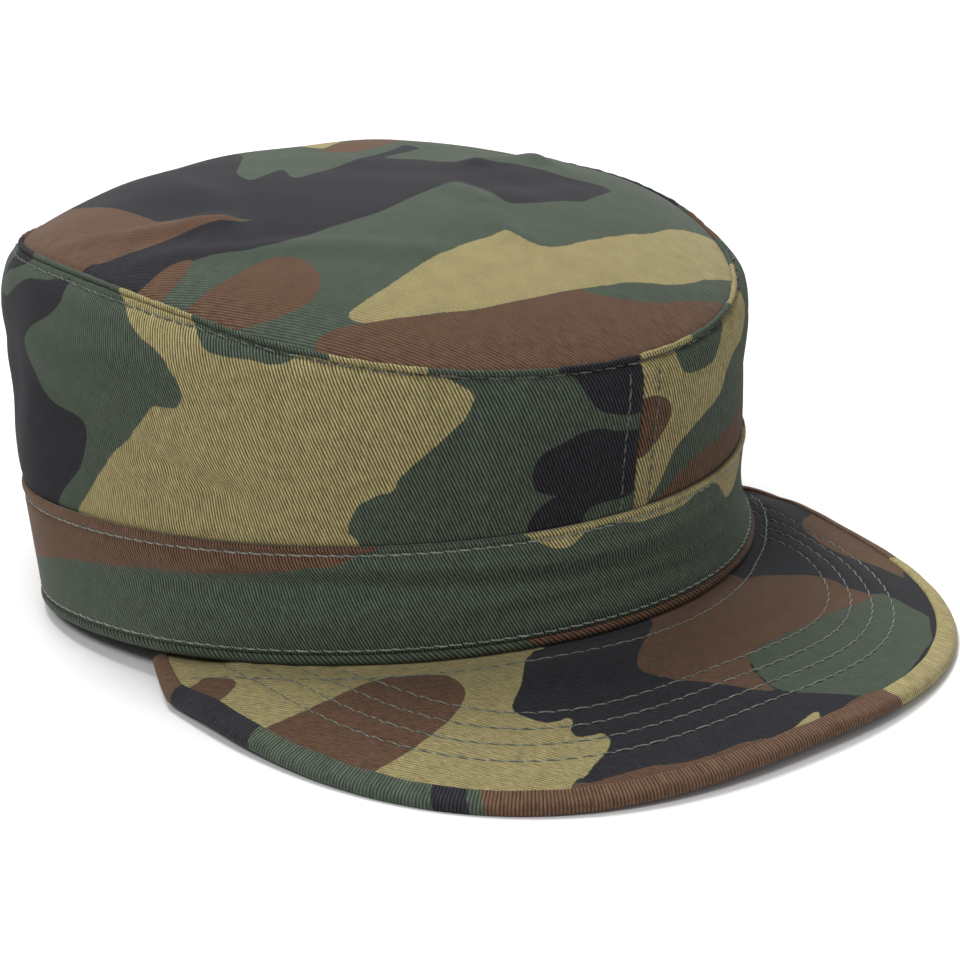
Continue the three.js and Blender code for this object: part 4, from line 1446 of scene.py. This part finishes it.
def seated(path, lifted, pitch):
    """Middles, directions and outward ways of even stitches along a path on the cloth."""
    run = np.concatenate([[0], np.cumsum(np.linalg.norm(np.diff(path, axis=0), axis=1))])
    count = max(1, int(run[-1] / pitch))
    at = (np.arange(count) + 0.5) * run[-1] / count
    middle = np.stack([np.interp(at, run, path[:, k]) for k in range(3)], -1)
    way = np.stack([np.interp(at, run, lifted[:, k]) for k in range(3)], -1)
    step = 0.3
    ahead = np.stack([np.interp(at + step, run, path[:, k]) for k in range(3)], -1)
    behind = np.stack([np.interp(at - step, run, path[:, k]) for k in range(3)], -1)
    along = ahead - behind
    along /= np.linalg.norm(along, axis=1, keepdims=True)
    way /= np.linalg.norm(way, axis=1, keepdims=True)
    return middle, along, way


def skin_row(skin, a, b):
    """A row on a skin with the skin's outward way, from its two chart coordinates."""
    step = 0.2
    path = skin(a, b)
    one = skin(a + step, b) - skin(a - step, b)
    two = skin(a, b + step) - skin(a, b - step)
    return path, np.cross(one, two)


def side_rows():
    rows = []
    u = np.linspace(-math.pi, math.pi, 1500) * CHART_RADIUS
    below = crown_height(u / CHART_RADIUS) - ditch_below(u)
    rows.append(skin_row(side_skin, u, below))
    for centre, offsets in ((0.0, FRONT_ROWS), (math.pi * CHART_RADIUS, BACK_ROWS)):
        for offset in offsets:
            height = crown_height(np.array(centre / CHART_RADIUS))
            v = np.linspace(SIDE_ROW_FROM, float(height - DITCH_BELOW - SIDE_ROW_SHORT), 200)
            rows.append(skin_row(side_skin, centre + offset + 0 * v, v))
    return rows


def band_rows():
    u = np.linspace(-math.pi, math.pi, 1500) * CHART_RADIUS
    return [skin_row(band_skin, u, height + 0 * u) for height in (band_top_row(u), BAND_LOW_ROW)]


def visor_rows():
    rows = []
    for inset in VISOR_ROWS:
        plan = EDGE + EDGE_INWARD * inset
        keep = outside_rim(plan[:, 0], plan[:, 1]) > ROW_OFF_RIM
        near = inside_edge(plan[:, 0], plan[:, 1]) > inset - ROW_SLACK
        plan = plan[keep & near]
        rows.append(skin_row(visor_skin, plan[:, 0], plan[:, 1]))
    angle = np.linspace(-RIM_ROW_END, RIM_ROW_END, 700)
    plan = polar(angle, rim_radius(angle) + rim_row(angle), 0)[:, :2]
    plan = plan[inside_edge(plan[:, 0], plan[:, 1]) > BINDING_WIDTH + ROW_OFF_BINDING]
    plan = plan[np.abs(plan[:, 0]) < RIM["side"] + VISOR_OVERHANG - BINDING_WIDTH]
    rows.append(skin_row(visor_skin, plan[:, 0], plan[:, 1]))
    return rows


def stitch_tree():
    """Lays one arched thread on each marked point, along it and out of the cloth."""
    tree = bpy.data.node_groups.new("lay_stitches", "GeometryNodeTree")
    face = tree.interface
    face.new_socket("Geometry", in_out="OUTPUT", socket_type="NodeSocketGeometry")
    face.new_socket("Geometry", in_out="INPUT", socket_type="NodeSocketGeometry")
    face.new_socket("Stitch Length", in_out="INPUT", socket_type="NodeSocketFloat")
    face.new_socket("Thread Thickness", in_out="INPUT", socket_type="NodeSocketFloat")
    face.new_socket("Unevenness", in_out="INPUT", socket_type="NodeSocketFloat")
    face.new_socket("Thread", in_out="INPUT", socket_type="NodeSocketMaterial")
    given = add(tree, "NodeGroupInput").outputs
    length, thickness = given["Stitch Length"], given["Thread Thickness"]
    half = sums(tree, "MULTIPLY", length, 0.5)
    back = sums(tree, "MULTIPLY", length, -0.5)
    sunk = sums(tree, "MULTIPLY", thickness, -0.3)
    raised = sums(tree, "MULTIPLY", thickness, 1.3)
    start = add(tree, "ShaderNodeCombineXYZ", {0: back, 2: sunk}).outputs[0]
    crest = add(tree, "ShaderNodeCombineXYZ", {2: raised}).outputs[0]
    finish = add(tree, "ShaderNodeCombineXYZ", {0: half, 2: sunk}).outputs[0]
    arch = add(tree, "GeometryNodeCurveQuadraticBezier", {
        "Resolution": 6, "Start": start, "Middle": crest, "End": finish,
    }).outputs[0]
    radius = sums(tree, "MULTIPLY", thickness, 0.5)
    ring = add(tree, "GeometryNodeCurvePrimitiveCircle", {"Resolution": 6, "Radius": radius})
    strand = add(tree, "GeometryNodeCurveToMesh", {
        "Curve": arch, "Profile Curve": ring.outputs[0], "Fill Caps": True,
    }).outputs[0]
    along = add(tree, "GeometryNodeInputNamedAttribute", {"Name": "along"},
                data_type="FLOAT_VECTOR").outputs[0]
    outward = add(tree, "GeometryNodeInputNamedAttribute", {"Name": "outward"},
                  data_type="FLOAT_VECTOR").outputs[0]
    turned = add(tree, "FunctionNodeAxesToRotation", {0: along, 1: outward},
                 primary_axis="X", secondary_axis="Z").outputs[0]
    uneven = add(tree, "FunctionNodeRandomValue", {"Seed": 7}, data_type="FLOAT")
    low = sums(tree, "SUBTRACT", 1.0, given["Unevenness"])
    high = sums(tree, "ADD", 1.0, given["Unevenness"])
    ranges = [s for s in uneven.inputs if s.type == "VALUE" and s.enabled]
    tree.links.new(low, ranges[0])
    tree.links.new(high, ranges[1])
    scale = [s for s in uneven.outputs if s.enabled][0]
    placed = add(tree, "GeometryNodeInstanceOnPoints", {
        "Points": given["Geometry"], "Instance": strand, "Rotation": turned, "Scale": scale,
    }).outputs[0]
    real = add(tree, "GeometryNodeRealizeInstances", {0: placed}).outputs[0]
    smooth = add(tree, "GeometryNodeSetShadeSmooth", {0: real}).outputs[0]
    dressed = add(tree, "GeometryNodeSetMaterial", {
        "Geometry": smooth, "Material": given["Thread"],
    }).outputs[0]
    out = add(tree, "NodeGroupOutput")
    tree.links.new(dressed, out.inputs[0])
    return tree


def sewn_rows(name, rows, tree, thread, pitch=STITCH_PITCH, length=STITCH_LENGTH, thick=THREAD):
    """One mesh of stitches for several rows of paths on the cloth."""
    middles, alongs, ways = (np.concatenate(part) for part in zip(
        *[seated(path, lifted, pitch) for path, lifted in rows]))
    beside = np.cross(ways, alongs)
    alongs = alongs * math.cos(STITCH_SLANT) + beside * math.sin(STITCH_SLANT)
    seats = new_object(name + "_seats", settled(middles).tolist(), [])
    turned = [leaned(alongs), leaned(ways)]
    for label, vectors in zip(("along", "outward"), turned):
        attribute = seats.data.attributes.new(label, "FLOAT_VECTOR", "POINT")
        attribute.data.foreach_set("vector", vectors.astype(np.float32).ravel())
    modifier = seats.modifiers.new("stitches", "NODES")
    modifier.node_group = tree
    sizes = {
        "Stitch Length": length * MM, "Thread Thickness": thick * MM,
        "Unevenness": STITCH_UNEVEN, "Thread": thread,
    }
    for item in tree.interface.items_tree:
        if item.name in sizes and item.in_out == "INPUT":
            modifier[item.identifier] = sizes[item.name]
    bpy.context.view_layer.update()
    graph = bpy.context.evaluated_depsgraph_get()
    mesh = bpy.data.meshes.new_from_object(seats.evaluated_get(graph))
    mesh.name = name
    bpy.data.objects.remove(seats)
    piece = bpy.data.objects.new(name, mesh)
    bpy.context.scene.collection.objects.link(piece)
    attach(piece, "root")
    return piece


# The camera stands where the photograph was taken from, in a frame that leans a little more
# than the cap does here, so it is turned back with it.
PHOTO_LEAN = math.radians(4.694)
CAMERA_AZIMUTH = math.radians(-38.519)
CAMERA_ELEVATION = math.radians(21.512)
CAMERA_DISTANCE = 599.16
CAMERA_AIM = (4.282, -34.621, 22.667)
CAMERA_LENS = 89.04
SENSOR = 36.0


def set_camera():
    flat = math.cos(CAMERA_ELEVATION)
    back = Vector((math.sin(CAMERA_AZIMUTH) * flat, -math.cos(CAMERA_AZIMUTH) * flat,
                   math.sin(CAMERA_ELEVATION)))
    right = Vector((math.cos(CAMERA_AZIMUTH), math.sin(CAMERA_AZIMUTH), 0))
    up = back.cross(right)
    eye = Vector(CAMERA_AIM) + back * CAMERA_DISTANCE
    turned = Matrix.Rotation(PHOTO_LEAN - LEAN, 3, "X")
    axes = Matrix((turned @ right, turned @ up, turned @ back)).transposed()
    place = (turned @ eye + Vector(SHIFT)) * MM
    data = bpy.data.cameras.new("photo_camera")
    data.lens = CAMERA_LENS
    data.sensor_width = SENSOR
    data.clip_start, data.clip_end = 0.01, 20
    camera = bpy.data.objects.new("photo_camera", data)
    camera.matrix_world = Matrix.Translation(place) @ axes.to_4x4()
    bpy.context.scene.collection.objects.link(camera)
    bpy.context.scene.camera = camera


# The sky is evenly bright but for the side behind the wearer's right, which is darker
SKY = 0.50
SKY_DARKEST = 0.2
DIM_SIDE = (-0.92, 0.38, 0.1)
FLOOR_REACH = 6

# Round lamps: place and power
LAMPS = {
    "key": ((-0.95, -0.2, 1.2), 9),
    "top": ((0.0, 0.6, 1.3), 14.5),
    "rear": ((0.9, 0.7, 0.95), 5.5),
}
LAMP_SIZE = 0.5
LAMP_AIM = (0, 0, 0.05)


def soft_light(name, place, power):
    data = bpy.data.lights.new(name, "AREA")
    data.shape = "DISK"
    data.size = LAMP_SIZE
    data.energy = power
    lamp = bpy.data.objects.new(name, data)
    lamp.location = place
    ahead = Vector(LAMP_AIM) - Vector(place)
    lamp.rotation_euler = ahead.to_track_quat("-Z", "Y").to_euler()
    bpy.context.scene.collection.objects.link(lamp)


def set_studio():
    far = FLOOR_REACH
    corners = [(-far, -far, 0), (far, -far, 0), (far, far, 0), (-far, far, 0)]
    floor = new_object("floor", corners, [(0, 1, 2, 3)])
    floor.data.materials.append(floor_finish())
    world = bpy.data.worlds.new("studio")
    world.use_nodes = True
    sky = world.node_tree.nodes["Background"]
    sky.inputs["Color"].default_value = (1, 1, 1, 1)
    tree = world.node_tree
    way = add(tree, "ShaderNodeTexCoord").outputs["Generated"]
    facing = add(tree, "ShaderNodeVectorMath", {0: way, 1: DIM_SIDE},
                 operation="DOT_PRODUCT").outputs["Value"]
    strength = ranged(tree, facing, -0.1, 0.8, SKY, SKY * SKY_DARKEST)
    socket_set(tree, sky, {"Strength": strength})
    bpy.context.scene.world = world
    for name, (place, power) in LAMPS.items():
        soft_light(name, place, power)
    bpy.context.scene.view_settings.view_transform = "Standard"


# Cloths: heading of the ribs in degrees, their pitch in mm, and how they look
CLOTHS = {
    "side_twill": dict(rib_angle=-69, rib_pitch=0.75, rib_strength=1.15, sheen=0.03),
    # The band and the binding are painted lighter than the other cloths, standing in for more light
    # falling on them
    "band_twill": dict(rib_angle=-65, rib_pitch=0.73, rib_strength=1.2, painted_light=1.12),
    "top_twill": dict(rib_angle=-60, rib_pitch=0.72, rib_strength=0.62, rib_depth=0.01),
    "visor_twill": dict(rib_angle=-62, rib_pitch=0.64, rib_strength=0.45, rib_depth=0.08),
    "binding_twill": dict(rib_angle=88, rib_pitch=0.82, rib_strength=0.75, painted_light=1.18),
    "welt_twill": dict(rib_angle=-45, rib_pitch=0.9),
}

# Threads: their dark and their light colour. They are copies of one grey-green thread: the band's
# is painted lighter, standing in for the light that falls on it, and the crown's is painted darker,
# standing in for the shade in its seams; the peak's lies between
THREADS = {
    "lit_band_thread": ((0.10, 0.12, 0.10, 1), (0.32, 0.35, 0.295, 1)),
    "peak_thread": ((0.07, 0.088, 0.070, 1), (0.21, 0.235, 0.19, 1)),
    "shaded_crown_thread": ((0.03, 0.036, 0.031, 1), (0.13, 0.14, 0.118, 1)),
}
SEAM_OPENING = 0.02


def build():
    set_camera()
    set_studio()
    cloth = {name: printed_twill(name, **look) for name, look in CLOTHS.items()}
    seam = SEAM_OPENING / RIM["side"]
    crown_top(cloth["top_twill"])
    crown_side("crown_side_right", -math.pi + seam, -seam, RIGHT_SIDE, cloth["side_twill"])
    crown_side("crown_side_left", seam, math.pi - seam, LEFT_SIDE, cloth["side_twill"])
    headband(cloth["band_twill"])
    lower_welt(cloth["welt_twill"])
    peak(cloth["visor_twill"])
    bound_edge(cloth["binding_twill"])
    thread = {name: thread_finish(name, *tones) for name, tones in THREADS.items()}
    tree = stitch_tree()
    # The crown's rows take the thread painted darker as shade, the band's the one painted lighter
    # as light
    sewn_rows("crown_stitches", side_rows(), tree, thread["shaded_crown_thread"])
    sewn_rows("band_stitches", band_rows(), tree, thread["lit_band_thread"])
    sewn_rows("peak_stitches", visor_rows(), tree, thread["peak_thread"], PEAK_STITCH_PITCH,
              PEAK_STITCH_LENGTH, PEAK_THREAD)
    bpy.data.node_groups.remove(tree)


build()
